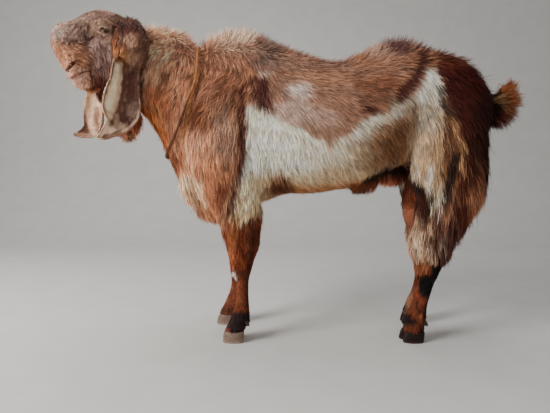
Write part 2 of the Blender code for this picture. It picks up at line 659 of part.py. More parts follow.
def main():
    clear_scene()
    coat = material("coat_rust", (0.33, 0.135, 0.060), 0.80)
    dark = material("coat_dark", (0.085, 0.035, 0.022), 0.80)
    pale = material("ear_skin", (0.50, 0.36, 0.27), 0.65)
    horn = material("hoof_horn", (0.30, 0.26, 0.22), 0.55)
    glass = material("eye_amber", (0.42, 0.27, 0.10), 0.12)
    skin = material("scrotum_skin", (0.36, 0.15, 0.09), 0.55)
    rope = material("cord_fibre", (0.10, 0.06, 0.045), 0.85)

    body = fused_body()

    # sockets for the eyes, a groove for the cord, flat ends under the pasterns
    cutters = []
    for s in (1, -1):
        at = EYE_AT.copy()
        at.y *= s
        cutters.append(ball(in_head(at), EYE_R + 0.0009, EYE_R + 0.0009, EYE_R + 0.0009, None, "socket", 14, 8))
    way = cord_points(body)
    cutters.append(tube_ring(way, CORD_R + 0.0005, 6))
    for mesh in cutters:
        c = put("cutter", mesh)
        boolean(body, c)
        drop(c)
    bm = bmesh.new()
    bmesh.ops.create_cube(bm, size=2.0)
    bm.transform(Matrix.Translation(Vector((0.15, 0, PASTERN_Z - 0.1))) @ Matrix.Diagonal((0.8, 0.4, 0.1, 1.0)))
    mesh = bpy.data.meshes.new("floor_cut")
    bm.to_mesh(mesh)
    bm.free()
    c = put("cutter", mesh)
    boolean(body, c)
    drop(c)

    # thin cuts
    slabs = [
        slab(Vector((-0.384, -0.060, 0.775)), (-0.86, -0.50, 0.06), 0.24, 0.24),       # head from neck
        slab(Vector((-0.215, 0.0, 0.670)), (-0.955, 0.0, 0.296), 0.30, 0.30),          # neck from trunk
        slab(Vector((0.628, 0.0, 0.695)), (0.959, 0.0, 0.284), 0.095, 0.095),          # tail from rump
    ]
    legs = {"foreleg_left": FORE_LEFT, "foreleg_right": FORE_RIGHT, "hindleg_left": HIND_LEFT, "hindleg_right": HIND_RIGHT}
    labels = {
        "head": Vector((-0.53, -0.20, 0.82)),
        "neck": Vector((-0.30, -0.02, 0.72)),
        "trunk": Vector((0.15, 0, 0.62)),
        "tail": Vector((0.68, 0, 0.70)),
    }
    for name, rows in legs.items():
        fore = name.startswith("fore")
        high, low = (CUT_FORE_Z, CUT_KNEE_Z) if fore else (CUT_THIGH_Z, CUT_HOCK_Z)
        slabs.append(slab(leg_at(rows, high), (0, 0, 1), 0.085 if fore else 0.140, 0.062 if fore else 0.078))
        slabs.append(slab(leg_at(rows, low), (0, 0, 1), 0.060, 0.055))
        labels[name + "_upper"] = leg_at(rows, (high + low) / 2)
        labels[name + "_lower"] = leg_at(rows, low / 2)
    for mesh in slabs:
        c = put("cutter", mesh)
        boolean(body, c)
        drop(c)

    nodes = {}
    for mesh, centre, volume in loose_parts(body):
        if volume < 2e-6:
            continue
        name = min(labels, key=lambda n: (labels[n] - centre).length)
        if name in nodes:
            print("extra part near", name, tuple(round(c, 3) for c in centre), round(volume * 1e6, 1), "ml")
            continue
        nodes[name] = put(name, mesh)
        nodes[name].data.materials.append(coat)
    drop(body)

    # eyes
    for s, side in ((1, "left"), (-1, "right")):
        at = EYE_AT.copy()
        at.y *= s
        eye = put("eye_" + side, ball(in_head(at), EYE_R, EYE_R, EYE_R, None, "eye", 14, 8))
        eye.data.materials.append(glass)
        nodes[eye.name] = eye

    # ears, trimmed clear of the head and the neck
    for side, rows in (("left", EAR_NEAR), ("right", EAR_FAR)):
        ear = put("ear_" + side, ear_mesh(rows))
        for other in ("head", "neck"):
            c = swollen(nodes[other], GAP * 1.3)
            boolean(ear, c)
            drop(c)
        best = loose_parts(ear)[0][0]
        ear.data = best
        ear.data.materials.clear()
        ear.data.materials.append(pale)
        nodes[ear.name] = ear

    # beard under the chin
    forward, left, up = head_frame()
    rings = []
    for t, r in ((-0.02, 0.015), (0.0, 0.016), (0.014, 0.014), (0.026, 0.010), (0.036, 0.004)):
        centre = in_head((0.158 - 0.1 * max(t, 0), 0, -0.094)) + Vector((0, 0, -t))
        rings.append(ring(centre, left, Vector((-0.75, -0.66, 0)), r, r * 1.1, r * 1.1, 0, 2.0, 12))
    beard = put("beard", loft(rings, "beard_loft"))
    c = swollen(nodes["head"], GAP)
    boolean(beard, c)
    drop(c)
    beard.data = loose_parts(beard)[0][0]
    beard.data.materials.append(coat)
    nodes["beard"] = beard

    # scrotum, hanging between the thighs
    rings = []
    for z, rx, ry in ((0.500, 0.020, 0.024), (0.460, 0.024, 0.028), (0.420, 0.030, 0.032), (0.385, 0.035, 0.036), (0.355, 0.034, 0.036), (0.332, 0.025, 0.027), (0.319, 0.009, 0.010)):
        rings.append(ring(Vector((0.414, -0.036, z)), Vector((0, 1, 0)), Vector((1, 0, 0)), ry, rx, rx, 0, 2.0, 18))
    bag = put("scrotum", loft(rings, "scrotum_loft"))
    for other in ("trunk", "hindleg_left_upper", "hindleg_right_upper"):
        c = swollen(nodes[other], GAP)
        boolean(bag, c)
        drop(c)
    bag.data = loose_parts(bag)[0][0]
    bag.data.materials.append(skin)
    nodes["scrotum"] = bag

    # claws and dew claws
    for leg, rows in legs.items():
        foot = leg.replace("leg", "")
        x, y = rows[-2][1:3]
        for inner, side in ((1, "outer" if y < 0 else "inner"), (-1, "inner" if y < 0 else "outer")):
            claw = put(f"claw_{foot}_{side}", claw_mesh(x - 0.004 - (0.003 if side == "inner" else 0.0), y - inner * 0.0150, inner))
            claw.data.materials.append(horn)
            nodes[claw.name] = claw
            dew = put(f"dewclaw_{foot}_{side}", dewclaw_mesh(Vector((rows[-3][1] + 0.022, y - inner * 0.013, 0.061)), -inner))
            c = swollen(nodes[leg + "_lower"], GAP)
            boolean(dew, c)
            drop(c)
            dew.data = loose_parts(dew)[0][0]
            dew.data.materials.append(horn)
            nodes[dew.name] = dew

    # the cord round the neck
    cord = put("neck_cord", tube_ring(way, CORD_R, 6))
    cord.data.materials.append(rope)
    nodes["neck_cord"] = cord

    low, high = Vector((1e9,) * 3), Vector((-1e9,) * 3)
    total = 0
    for obj in nodes.values():
        obj.data.transform(Matrix.Translation(SHIFT))
        obj.data.shade_smooth()
        obj.data.update()
        for v in obj.data.vertices:
            low = Vector(map(min, low, v.co))
            high = Vector(map(max, high, v.co))
        obj.data.calc_loop_triangles()
        total += len(obj.data.loop_triangles)
    print("box", [round(c, 4) for c in low], [round(c, 4) for c in high], "triangles", total, "nodes", len(nodes))
    return nodes


main()
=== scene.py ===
"""Looks of the life-size billy goat: skin, coat, ears, eyes, hooves, neck cord, floor, light and camera.

The skin is lofted from the same sections as the solids, drawn in by the coat's depth. The coat is made
of thin tapered tufts that follow the lie of the hair, gathered into locks where the hair is long.
Skin and coat take their colours from one set of markings.
"""

import math

import bmesh
import bpy
import numpy as np
from mathutils import Matrix, Vector, kdtree
from mathutils.bvhtree import BVHTree


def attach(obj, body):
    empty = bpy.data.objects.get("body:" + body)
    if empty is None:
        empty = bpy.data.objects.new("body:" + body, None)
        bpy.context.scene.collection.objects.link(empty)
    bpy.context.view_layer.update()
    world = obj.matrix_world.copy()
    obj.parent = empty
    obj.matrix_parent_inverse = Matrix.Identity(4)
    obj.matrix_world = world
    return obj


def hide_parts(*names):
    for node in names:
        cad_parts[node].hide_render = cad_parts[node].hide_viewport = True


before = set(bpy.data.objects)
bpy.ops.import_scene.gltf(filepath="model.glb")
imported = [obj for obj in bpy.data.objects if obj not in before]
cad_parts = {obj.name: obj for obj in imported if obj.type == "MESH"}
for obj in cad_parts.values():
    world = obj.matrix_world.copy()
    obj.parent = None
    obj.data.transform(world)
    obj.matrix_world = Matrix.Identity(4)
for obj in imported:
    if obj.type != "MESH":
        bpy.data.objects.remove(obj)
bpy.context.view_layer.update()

SHIFT = np.array((-0.0642, 0.02525, 0.0))  # from the modelling frame to the part's frame

# ---------------------------------------------------------------- camera
LENS_PX, PITCH, STAND_OFF, EYE_LEVEL = 430.0, math.radians(4.0), 1.3073, 0.4703
camera_data = bpy.data.cameras.new("camera")
camera_data.sensor_fit = "HORIZONTAL"
camera_data.sensor_width = 36.0
camera_data.lens = 36.0 * LENS_PX / 550.0
camera = bpy.data.objects.new("camera", camera_data)
camera.location = (SHIFT[0], SHIFT[1] - STAND_OFF, EYE_LEVEL)
camera.rotation_euler = (math.radians(90.0) - PITCH, 0.0, 0.0)
bpy.context.scene.collection.objects.link(camera)
bpy.context.scene.camera = camera


def to_picture(p):
    """Where a point of the near side lies in the side picture that the markings are drawn in."""
    cp, sp = math.cos(PITCH), math.sin(PITCH)
    d = (p[:, 1] + STAND_OFF) * cp - (p[:, 2] - EYE_LEVEL) * sp
    v = (p[:, 1] + STAND_OFF) * sp + (p[:, 2] - EYE_LEVEL) * cp
    return np.stack([275.0 + LENS_PX * p[:, 0] / d, 206.5 - LENS_PX * v / d], 1)


def from_picture(u, v, y):
    """The point with that y which lies at (u, v) in the side picture."""
    z = EYE_LEVEL + (STAND_OFF + y) * math.tan(math.atan((206.5 - v) / LENS_PX) - PITCH)
    d = (STAND_OFF + y) * math.cos(PITCH) - (z - EYE_LEVEL) * math.sin(PITCH)
    return np.array(((u - 275.0) * d / LENS_PX, y, z))


# ---------------------------------------------------------------- sections, as in the solids
TRUNK = (
    (-0.262, 0.700, 0.450, 0.074, 0.00, 2.0),
    (-0.232, 0.800, 0.385, 0.112, -0.10, 2.0),
    (-0.190, 0.872, 0.350, 0.136, -0.22, 2.0),
    (-0.150, 0.890, 0.342, 0.146, -0.28, 2.0),
    (-0.110, 0.894, 0.350, 0.152, -0.28, 2.0),
    (-0.060, 0.883, 0.372, 0.160, -0.26, 2.1),
    (0.010, 0.854, 0.402, 0.170, -0.20, 2.1),
    (0.090, 0.824, 0.412, 0.180, -0.14, 2.2),
    (0.170, 0.805, 0.422, 0.184, -0.10, 2.2),
    (0.240, 0.821, 0.436, 0.176, -0.12, 2.2),
    (0.310, 0.852, 0.470, 0.160, -0.16, 2.1),
    (0.372, 0.870, 0.498, 0.148, -0.20, 2.1),
    (0.430, 0.846, 0.505, 0.142, -0.14, 2.1),
    (0.500, 0.832, 0.500, 0.134, -0.16, 2.1),
    (0.552, 0.808, 0.520, 0.118, -0.14, 2.0),
    (0.594, 0.768, 0.560, 0.092, -0.05, 2.0),
    (0.624, 0.706, 0.610, 0.050, 0.00, 2.0),
)
NECK = (
    (-0.120, 0.000, 0.600, 0.130, 0.240, 0.200, 18),
    (-0.190, 0.000, 0.640, 0.124, 0.206, 0.240, 17),
    (-0.258, -0.008, 0.690, 0.112, 0.164, 0.205, 15),
    (-0.312, -0.024, 0.735, 0.102, 0.160, 0.168, 10),
    (-0.358, -0.046, 0.768, 0.090, 0.129, 0.144, 4),
    (-0.398, -0.074, 0.782, 0.078, 0.100, 0.128, 0),
    (-0.430, -0.104, 0.790, 0.064, 0.074, 0.100, -4),
)
FORE_LEFT = (
    (0.770, -0.118, -0.066, 0.050, 0.030),
    (0.700, -0.130, -0.092, 0.080, 0.044),
    (0.600, -0.148, -0.112, 0.100, 0.050),
    (0.500, -0.138, -0.116, 0.100, 0.052),
    (0.420, -0.116, -0.108, 0.084, 0.050),
    (0.350, -0.098, -0.098, 0.066, 0.045),
    (0.317, -0.0945, -0.095, 0.0590, 0.042),
    (0.289, -0.0917, -0.094, 0.0547, 0.040),
    (0.260, -0.0922, -0.094, 0.0468, 0.036),
    (0.231, -0.0950, -0.094, 0.0370, 0.0325),
    (0.202, -0.0982, -0.094, 0.0300, 0.0300),
    (0.187, -0.0990, -0.094, 0.0262, 0.0275),
    (0.168, -0.0970, -0.095, 0.0215, 0.0235),
    (0.143, -0.0943, -0.096, 0.0186, 0.0205),
    (0.114, -0.0943, -0.097, 0.0190, 0.0210),
    (0.084, -0.0978, -0.098, 0.0242, 0.0255),
    (0.066, -0.1005, -0.099, 0.0268, 0.0275),
    (0.050, -0.1070, -0.100, 0.0262, 0.0270),
    (0.036, -0.1150, -0.100, 0.0275, 0.0285),
    (0.022, -0.1180, -0.100, 0.0240, 0.0240),
)
FORE_RIGHT = (
    (0.770, -0.118, 0.066, 0.050, 0.030),
    (0.700, -0.130, 0.092, 0.080, 0.044),
    (0.600, -0.150, 0.110, 0.100, 0.050),
    (0.500, -0.142, 0.112, 0.100, 0.052),
    (0.420, -0.124, 0.100, 0.084, 0.050),
    (0.350, -0.112, 0.086, 0.066, 0.045),
    (0.300, -0.108, 0.076, 0.0570, 0.041),
    (0.260, -0.110, 0.070, 0.0468, 0.036),
    (0.231, -0.114, 0.067, 0.0370, 0.0325),
    (0.202, -0.118, 0.065, 0.0300, 0.0300),
    (0.172, -0.120, 0.062, 0.0225, 0.0245),
    (0.143, -0.121, 0.060, 0.0190, 0.0208),
    (0.114, -0.1225, 0.058, 0.0195, 0.0212),
    (0.090, -0.1260, 0.056, 0.0240, 0.0250),
    (0.074, -0.1300, 0.056, 0.0268, 0.0270),
    (0.054, -0.1400, 0.055, 0.0262, 0.0270),
    (0.036, -0.1490, 0.055, 0.0275, 0.0285),
    (0.022, -0.1515, 0.055, 0.0240, 0.0240),
)
HIND_LEFT = (
    (0.740, 0.465, -0.060, 0.070, 0.034),
    (0.670, 0.476, -0.078, 0.106, 0.054),
    (0.600, 0.480, -0.090, 0.118, 0.064),
    (0.520, 0.486, -0.096, 0.119, 0.066),
    (0.450, 0.492, -0.096, 0.121, 0.061),
    (0.420, 0.494, -0.096, 0.115, 0.057),
    (0.385, 0.484, -0.096, 0.099, 0.051),
    (0.350, 0.473, -0.096, 0.084, 0.047),
    (0.315, 0.454, -0.097, 0.072, 0.044),
    (0.277, 0.442, -0.097, 0.066, 0.040),
    (0.242, 0.438, -0.098, 0.053, 0.034),
    (0.221, 0.4365, -0.098, 0.0420, 0.030),
    (0.200, 0.4335, -0.098, 0.0340, 0.0270),
    (0.165, 0.4275, -0.098, 0.0245, 0.0225),
    (0.125, 0.4175, -0.099, 0.0220, 0.0210),
    (0.098, 0.4095, -0.100, 0.0235, 0.0230),
    (0.074, 0.4030, -0.100, 0.0285, 0.0275),
    (0.052, 0.3985, -0.100, 0.0280, 0.0275),
    (0.036, 0.3970, -0.100, 0.0285, 0.0285),
    (0.022, 0.3970, -0.100, 0.0245, 0.0240),
)
HIND_RIGHT = (
    (0.740, 0.468, 0.060, 0.070, 0.034),
    (0.670, 0.480, 0.078, 0.106, 0.054),
    (0.600, 0.486, 0.090, 0.116, 0.064),
    (0.520, 0.494, 0.094, 0.117, 0.066),
    (0.450, 0.505, 0.090, 0.118, 0.060),
    (0.400, 0.510, 0.082, 0.108, 0.054),
    (0.350, 0.502, 0.074, 0.090, 0.047),
    (0.315, 0.494, 0.069, 0.077, 0.044),
    (0.277, 0.490, 0.065, 0.068, 0.040),
    (0.242, 0.488, 0.062, 0.055, 0.034),
    (0.221, 0.486, 0.061, 0.0420, 0.030),
    (0.200, 0.484, 0.060, 0.0340, 0.0270),
    (0.165, 0.477, 0.058, 0.0245, 0.0225),
    (0.125, 0.468, 0.056, 0.0220, 0.0210),
    (0.098, 0.461, 0.055, 0.0235, 0.0230),
    (0.074, 0.455, 0.055, 0.0285, 0.0275),
    (0.052, 0.447, 0.055, 0.0280, 0.0275),
    (0.036, 0.442, 0.055, 0.0285, 0.0285),
    (0.022, 0.441, 0.055, 0.0245, 0.0240),
)
SKULL = (
    (-0.045, 0.000, -0.070, 0.036, 0.0, 2.0),
    (-0.022, 0.026, -0.085, 0.050, 0.0, 2.0),
    (0.002, 0.049, -0.090, 0.056, -0.02, 2.1),
    (0.025, 0.0640, -0.088, 0.058, -0.04, 2.2),
    (0.050, 0.0690, -0.082, 0.058, -0.08, 2.2),
    (0.075, 0.0670, -0.075, 0.053, -0.12, 2.2),
    (0.100, 0.0635, -0.068, 0.046, -0.16, 2.2),
    (0.125, 0.0655, -0.062, 0.041, -0.18, 2.2),
    (0.148, 0.0660, -0.0595, 0.0370, -0.08, 2.2),
    (0.166, 0.0575, -0.0585, 0.0330, 0.02, 2.2),
    (0.1800, 0.0430, -0.0575, 0.0270, 0.06, 2.15),
    (0.1825, 0.0250, -0.0570, 0.0205, 0.0, 2.1),
    (0.1835, -0.004, -0.0565, 0.0180, 0.0, 2.0),
    (0.1845, -0.026, -0.0560, 0.0150, 0.0, 2.0),
)
JAW = (
    (-0.020, -0.040, -0.100, 0.034),
    (0.010, -0.036, -0.122, 0.044),
    (0.045, -0.038, -0.130, 0.047),
    (0.080, -0.042, -0.122, 0.042),
    (0.115, -0.046, -0.110, 0.035),
    (0.150, -0.050, -0.101, 0.0295),
    (0.172, -0.055, -0.0950, 0.0255),
    (0.1825, -0.061, -0.0845, 0.0175),
)
# the tail's flesh, inside its hair: x, z, half thickness, half width
TAIL_CORE = (
    (0.560, 0.702, 0.026, 0.028),
    (0.590, 0.693, 0.027, 0.026),
    (0.618, 0.683, 0.029, 0.024),
    (0.642, 0.675, 0.031, 0.022),
    (0.662, 0.678, 0.030, 0.019),
    (0.677, 0.691, 0.023, 0.016),
    (0.686, 0.708, 0.015, 0.012),
    (0.691, 0.726, 0.006, 0.006),
)
HEAD_AT = np.array((-0.432, -0.098, 0.866))
HEAD_YAW, HEAD_DIP = math.radians(48.0), math.radians(32.0)
HEAD_F = np.array((-math.cos(HEAD_YAW) * math.cos(HEAD_DIP), -math.sin(HEAD_YAW) * math.cos(HEAD_DIP), -math.sin(HEAD_DIP)))
HEAD_U = np.array((-math.cos(HEAD_YAW) * math.sin(HEAD_DIP), -math.sin(HEAD_YAW) * math.sin(HEAD_DIP), math.cos(HEAD_DIP)))
HEAD_L = np.cross(HEAD_U, HEAD_F)
HEAD_TURN = np.stack([HEAD_F, HEAD_L, HEAD_U])  # rows
EYE_AT = np.array((0.0720, 0.0470, 0.0130))
EYE_R = 0.0146

# how deep the skin lies under the coat's outline, by place
TRUNK_SIDE_IN = ((-0.26, 0.018), (-0.10, 0.014), (0.10, 0.010), (0.30, 0.012), (0.45, 0.016), (0.62, 0.018))
TRUNK_TOP_IN = ((-0.26, 0.024), (-0.10, 0.022), (0.02, 0.016), (0.20, 0.012), (0.30, 0.020), (0.37, 0.030), (0.43, 0.020), (0.62, 0.020))
TRUNK_LOW_IN = ((-0.26, 0.030), (-0.10, 0.028), (0.02, 0.022), (0.12, 0.016), (0.30, 0.014), (0.62, 0.014))
FORE_IN = ((0.77, 0.008, 0.006), (0.60, 0.014, 0.010), (0.50, 0.016, 0.010), (0.42, 0.014, 0.010), (0.35, 0.012, 0.009), (0.289, 0.010, 0.007), (0.26, 0.0075, 0.005), (0.231, 0.005, 0.0045), (0.20, 0.003, 0.003), (0.168, 0.0018, 0.0018), (0.02, 0.0016, 0.0016))
HIND_IN = ((0.74, 0.010, 0.008, 0.0), (0.60, 0.016, 0.012, 0.0), (0.52, 0.021, 0.014, -0.003), (0.45, 0.027, 0.015, -0.007), (0.42, 0.029, 0.015, -0.009), (0.385, 0.027, 0.012, -0.009), (0.35, 0.023, 0.011, -0.007), (0.315, 0.018, 0.010, -0.003), (0.277, 0.015, 0.009, 0.0), (0.242, 0.010, 0.006, 0.0), (0.221, 0.005, 0.004, 0.0), (0.20, 0.0035, 0.003, 0.0), (0.165, 0.002, 0.002, 0.0), (0.02, 0.0016, 0.0016, 0.0))


# ---------------------------------------------------------------- mesh helpers
def smooth_rows(rows, step):
    """Rows read from a smooth curve through the given rows, about `step` apart in their first three numbers."""
    rows = np.array(rows, float)
    ends = np.vstack([2 * rows[0] - rows[1], rows, 2 * rows[-1] - rows[-2]])
    out = []
    for i in range(1, len(ends) - 2):
        p0, p1, p2, p3 = ends[i - 1 : i + 3]
        count = max(1, int(math.ceil(np.linalg.norm((p2 - p1)[:3]) / step)))
        for k in range(count):
            t = k / count
            out.append(0.5 * (2 * p1 + (p2 - p0) * t + (2 * p0 - 5 * p1 + 4 * p2 - p3) * t * t + (3 * p1 - p0 - 3 * p2 + p3) * t**3))
    out.append(rows[-1])
    return np.array(out)


def along_table(table, x):
    """Values of a table's later columns at x, its first column; rows may run either way."""
    table = np.array(table, float)
    table = table[np.argsort(table[:, 0])]
    return [np.interp(x, table[:, 0], table[:, k]) for k in range(1, table.shape[1])]


def ring(centre, side, up, half_width, above, below, egg=0.0, power=2.0, count=28):
    a = np.arange(count) * 2 * math.pi / count
    c, s = np.cos(a), np.sin(a)
    x = np.sign(c) * np.abs(c) ** (2 / power) * half_width * (1 + egg * s)
    z = np.sign(s) * np.abs(s) ** (2 / power) * np.where(s > 0, above, below)
    return np.asarray(centre) + x[:, None] * np.asarray(side) + z[:, None] * np.asarray(up)


def grid_faces(rows, columns, closed=True):
    i, j = np.meshgrid(np.arange(rows - 1), np.arange(columns if closed else columns - 1), indexing="ij")
    k = (j + 1) % columns
    return np.stack([i * columns + j, i * columns + k, (i + 1) * columns + k, (i + 1) * columns + j], -1).reshape(-1, 4)


def mesh_of(points, faces, name="mesh"):
    """A mesh from points and faces, the faces all of one corner count or a list of several such arrays."""
    groups = [faces] if isinstance(faces, np.ndarray) else list(faces)
    groups = [g for g in groups if len(g)]
    mesh = bpy.data.meshes.new(name)
    mesh.vertices.add(len(points))
    mesh.vertices.foreach_set("co", np.asarray(points, np.float32).ravel())
    corners = np.concatenate([g.ravel() for g in groups]).astype(np.int32)
    counts = np.concatenate([np.full(len(g), g.shape[1]) for g in groups]).astype(np.int32)
    mesh.loops.add(len(corners))
    mesh.loops.foreach_set("vertex_index", corners)
    mesh.polygons.add(len(counts))
    mesh.polygons.foreach_set("loop_start", np.concatenate([[0], np.cumsum(counts)[:-1]]).astype(np.int32))
    mesh.polygons.foreach_set("loop_total", counts)
    mesh.update(calc_edges=True)
    mesh.validate()
    return mesh


def loft(rings, name="loft"):
    """A closed mesh through rings of points, with fan caps, its faces pointing out."""
    n, rows = len(rings[0]), len(rings)
    points = np.vstack(rings + [rings[0].mean(0), rings[-1].mean(0)])
    faces = grid_faces(rows, n)
    k = np.arange(n)
    first = np.stack([(k + 1) % n, k, np.full(n, rows * n)], 1)
    last = np.stack([k + (rows - 1) * n, (k + 1) % n + (rows - 1) * n, np.full(n, rows * n + 1)], 1)
    mesh = mesh_of(points, [faces, first, last], name)
    bm = bmesh.new()
    bm.from_mesh(mesh)
    bmesh.ops.recalc_face_normals(bm, faces=bm.faces)
    bm.to_mesh(mesh)
    bm.free()
    return mesh


def ball(centre, rx, ry, rz, turn=None, u=28, v=18):
    bm = bmesh.new()
    bmesh.ops.create_uvsphere(bm, u_segments=u, v_segments=v, radius=1.0)
    m = Matrix.Diagonal((rx, ry, rz, 1.0))
    if turn is not None:
        m = turn.to_4x4() @ m
    bm.transform(Matrix.Translation(Vector(centre)) @ m)
    mesh = bpy.data.meshes.new("ball")
    bm.to_mesh(mesh)
    bm.free()
    return mesh


def put(name, mesh):
    obj = bpy.data.objects.new(name, mesh)
    bpy.context.scene.collection.objects.link(obj)
    return obj


def drop(obj):
    bpy.data.objects.remove(obj, do_unlink=True)


def joined(meshes, name):
    bm = bmesh.new()
    for mesh in meshes:
        bm.from_mesh(mesh)
    out = bpy.data.meshes.new(name)
    bm.to_mesh(out)
    bm.free()
    return put(name, out)


def baked(obj):
    graph = bpy.context.evaluated_depsgraph_get()
    graph.update()
    mesh = bpy.data.meshes.new_from_object(obj.evaluated_get(graph), depsgraph=graph)
    obj.modifiers.clear()
    obj.data = mesh
    return obj


def fused(obj, voxel, rounds):
    m = obj.modifiers.new("fuse", "REMESH")
    m.mode, m.voxel_size, m.adaptivity = "VOXEL", voxel, 0.0
    m = obj.modifiers.new("soften", "SMOOTH")
    m.factor, m.iterations = 0.5, rounds
    return baked(obj)


def coords(mesh):
    co = np.empty(len(mesh.vertices) * 3, np.float32)
    mesh.vertices.foreach_get("co", co)
    return co.reshape(-1, 3).astype(float)


def normals(mesh):
    no = np.empty(len(mesh.vertices) * 3, np.float32)
    mesh.vertices.foreach_get("normal", no)
    return no.reshape(-1, 3).astype(float)


def set_coords(mesh, co):
    mesh.vertices.foreach_set("co", co.astype(np.float32).ravel())
    mesh.update()


def unit(v):
    return v / np.maximum(np.linalg.norm(v, axis=-1, keepdims=True), 1e-12)


def smoothstep(a, b, x):
    t = np.clip((x - a) / (b - a), 0.0, 1.0)
    return t * t * (3 - 2 * t)


def lattice(ix, iy, iz, seed):
    """A fixed value from 0 to 1 for each whole-number place."""
    h = (ix.astype(np.int64) * 374761393 + iy.astype(np.int64) * 668265263 + iz.astype(np.int64) * 2147483647 + seed * 1274126177) & 0xFFFFFFFF
    h = ((h ^ (h >> 13)) * 1274126177) & 0xFFFFFFFF
    h = (h ^ (h >> 16)) & 0xFFFFFFFF
    return h / 4294967295.0


def noise(p, scale, seed=0):
    """Smooth noise from -1 to 1, with bumps about `scale` metres across."""
    q = p / scale
    i = np.floor(q).astype(np.int64)
    f = q - i
    f = f * f * (3 - 2 * f)
    total = 0.0
    for dx in (0, 1):
        for dy in (0, 1):
            for dz in (0, 1):
                w = (f[:, 0] if dx else 1 - f[:, 0]) * (f[:, 1] if dy else 1 - f[:, 1]) * (f[:, 2] if dz else 1 - f[:, 2])
                total = total + w * lattice(i[:, 0] + dx, i[:, 1] + dy, i[:, 2] + dz, seed)
    return total * 2 - 1


def to_head(p):
    return (p - HEAD_AT) @ HEAD_TURN.T


def from_head(q):
    return np.asarray(q) @ HEAD_TURN + HEAD_AT


def srgb(r, g, b):
    c = np.array((r, g, b), float) / 255.0
    return np.where(c <= 0.04045, c / 12.92, ((c + 0.055) / 1.055) ** 2.4)


# ---------------------------------------------------------------- the skin's form
def trunk_skin():
    rings = []
    for x, _, _, top, low, w, egg, power in smooth_rows([(x, 0, 0, t, b, w, e, q) for x, t, b, w, e, q in TRUNK], 0.014):
        w = w - along_table(TRUNK_SIDE_IN, x)[0]
        top = top - along_table(TRUNK_TOP_IN, x)[0]
        low = low + along_table(TRUNK_LOW_IN, x)[0]
        middle = low + (top - low) * 0.48
        rings.append(ring((x, 0, middle), (0, 1, 0), (0, 0, 1), max(w, 0.02), top - middle, middle - low, egg, power, 48))
    return loft(rings[1:-1])


def neck_skin(start=0, grow=0.0):
    rows = smooth_rows(NECK, 0.014)
    rings = []
    for i, (x, y, z, w, above, below, lean) in enumerate(rows):
        a, b = rows[max(0, i - 1)][:3], rows[min(len(rows) - 1, i + 1)][:3]
        flat = unit((b - a) * (1, 1, 0))
        side = np.array((flat[1], -flat[0], 0.0))
        t = math.radians(lean)
        up = np.array((0, 0, 1.0)) * math.cos(t) - flat * math.sin(t)
        if x < start:
            rings.append(ring((x, y, z), side, up, w - 0.017 + grow, above - 0.022 + grow, below - 0.030 + grow, -0.12, 2.0, 44))
    return loft(rings)


def leg_skin(rows, table, extra):
    rings = []
    for z, x, y, rx, ry in smooth_rows(rows, 0.010):
        inset = along_table(table, z)
        shift = inset[2] if extra else 0.0
        rings.append(ring((x + shift, y, z), (0, 1, 0), (1, 0, 0), ry - inset[1], rx - inset[0], rx - inset[0], 0.0, 2.1, 32))
    return loft(rings)


def tail_skin():
    rows = smooth_rows([(x, 0, z, a, b) for x, z, a, b in TAIL_CORE], 0.008)
    rings = []
    for i, (x, _, z, thick, wide) in enumerate(rows):
        a, b = rows[max(0, i - 1)], rows[min(len(rows) - 1, i + 1)]
        along = unit(np.array((b[0] - a[0], 0, b[2] - a[2])))
        rings.append(ring((x, 0, z), (0, 1, 0), (-along[2], 0, along[0]), wide, thick, thick, 0, 2.0, 24))
    return loft(rings)


def head_skins():
    made, rings = [], []
    for f, _, _, top, low, w, egg, power in smooth_rows([(a, 0, 0, b, c, d, e, q) for a, b, c, d, e, q in SKULL], 0.006):
        middle = low + (top - low) * 0.46
        rings.append(ring(from_head((f - 0.001, 0, middle)), HEAD_L, HEAD_U, w - 0.0022, top - middle - 0.0022, middle - low - 0.001, egg, power, 44))
    made.append(loft(rings))
    rings = []
    for f, _, _, top, low, w in smooth_rows([(a, 0, 0, b, c, d) for a, b, c, d in JAW], 0.006):
        middle = (top + low) / 2
        rings.append(ring(from_head((f - 0.001, 0, middle + 0.002)), HEAD_L, HEAD_U, w - 0.003, top - middle - 0.001, middle - low - 0.002, 0, 2.1, 36))
    made.append(loft(rings))
    turn = Matrix([list(r) for r in HEAD_TURN]).transposed()
    for s in (1, -1):
        made.append(ball(from_head((0.064, s * 0.0385, 0.024)), 0.029, 0.0185, 0.0195, turn))
        made.append(ball(from_head((0.055, s * 0.026, -0.054)), 0.054, 0.024, 0.041, turn))
        made.append(ball(from_head((0.157, s * 0.0120, -0.020)), 0.0210, 0.0165, 0.0230, turn))
        # corner of the jaw and the bone under the eye
        made.append(ball(from_head((0.095, s * 0.034, -0.014)), 0.036, 0.0135, 0.0110, turn))
    made.append(ball(from_head((0.1640, 0, -0.0395)), 0.0180, 0.0220, 0.0190, turn))
    # upper lip, lower lip
    made.append(ball(from_head((0.1755, 0, -0.0520)), 0.0150, 0.0185, 0.0092, turn))
    made.append(ball(from_head((0.1710, 0, -0.0712)), 0.0155, 0.0178, 0.0108, turn))
    made.append(ball(np.array((-0.446, -0.114, 0.706)), 0.036, 0.034, 0.040))
    return made


def eye_axes(s):
    """Centre of the eye, the axis it looks along, and the forward and upward axes of its opening."""
    at = from_head(EYE_AT * (1, s, 1))
    look = unit(HEAD_L * s + HEAD_F * 0.13 + np.array((0, 0, -0.09)))
    ahead = unit(HEAD_F * math.cos(HEAD_DIP) + HEAD_U * math.sin(HEAD_DIP))
    ahead = unit(ahead - look * (ahead @ look))
    above = np.cross(look, ahead) * s
    if above[2] < 0:
        above = -above
    tilt = math.radians(-4.0)
    return at, look, ahead * math.cos(tilt) + above * math.sin(tilt), above * math.cos(tilt) - ahead * math.sin(tilt)


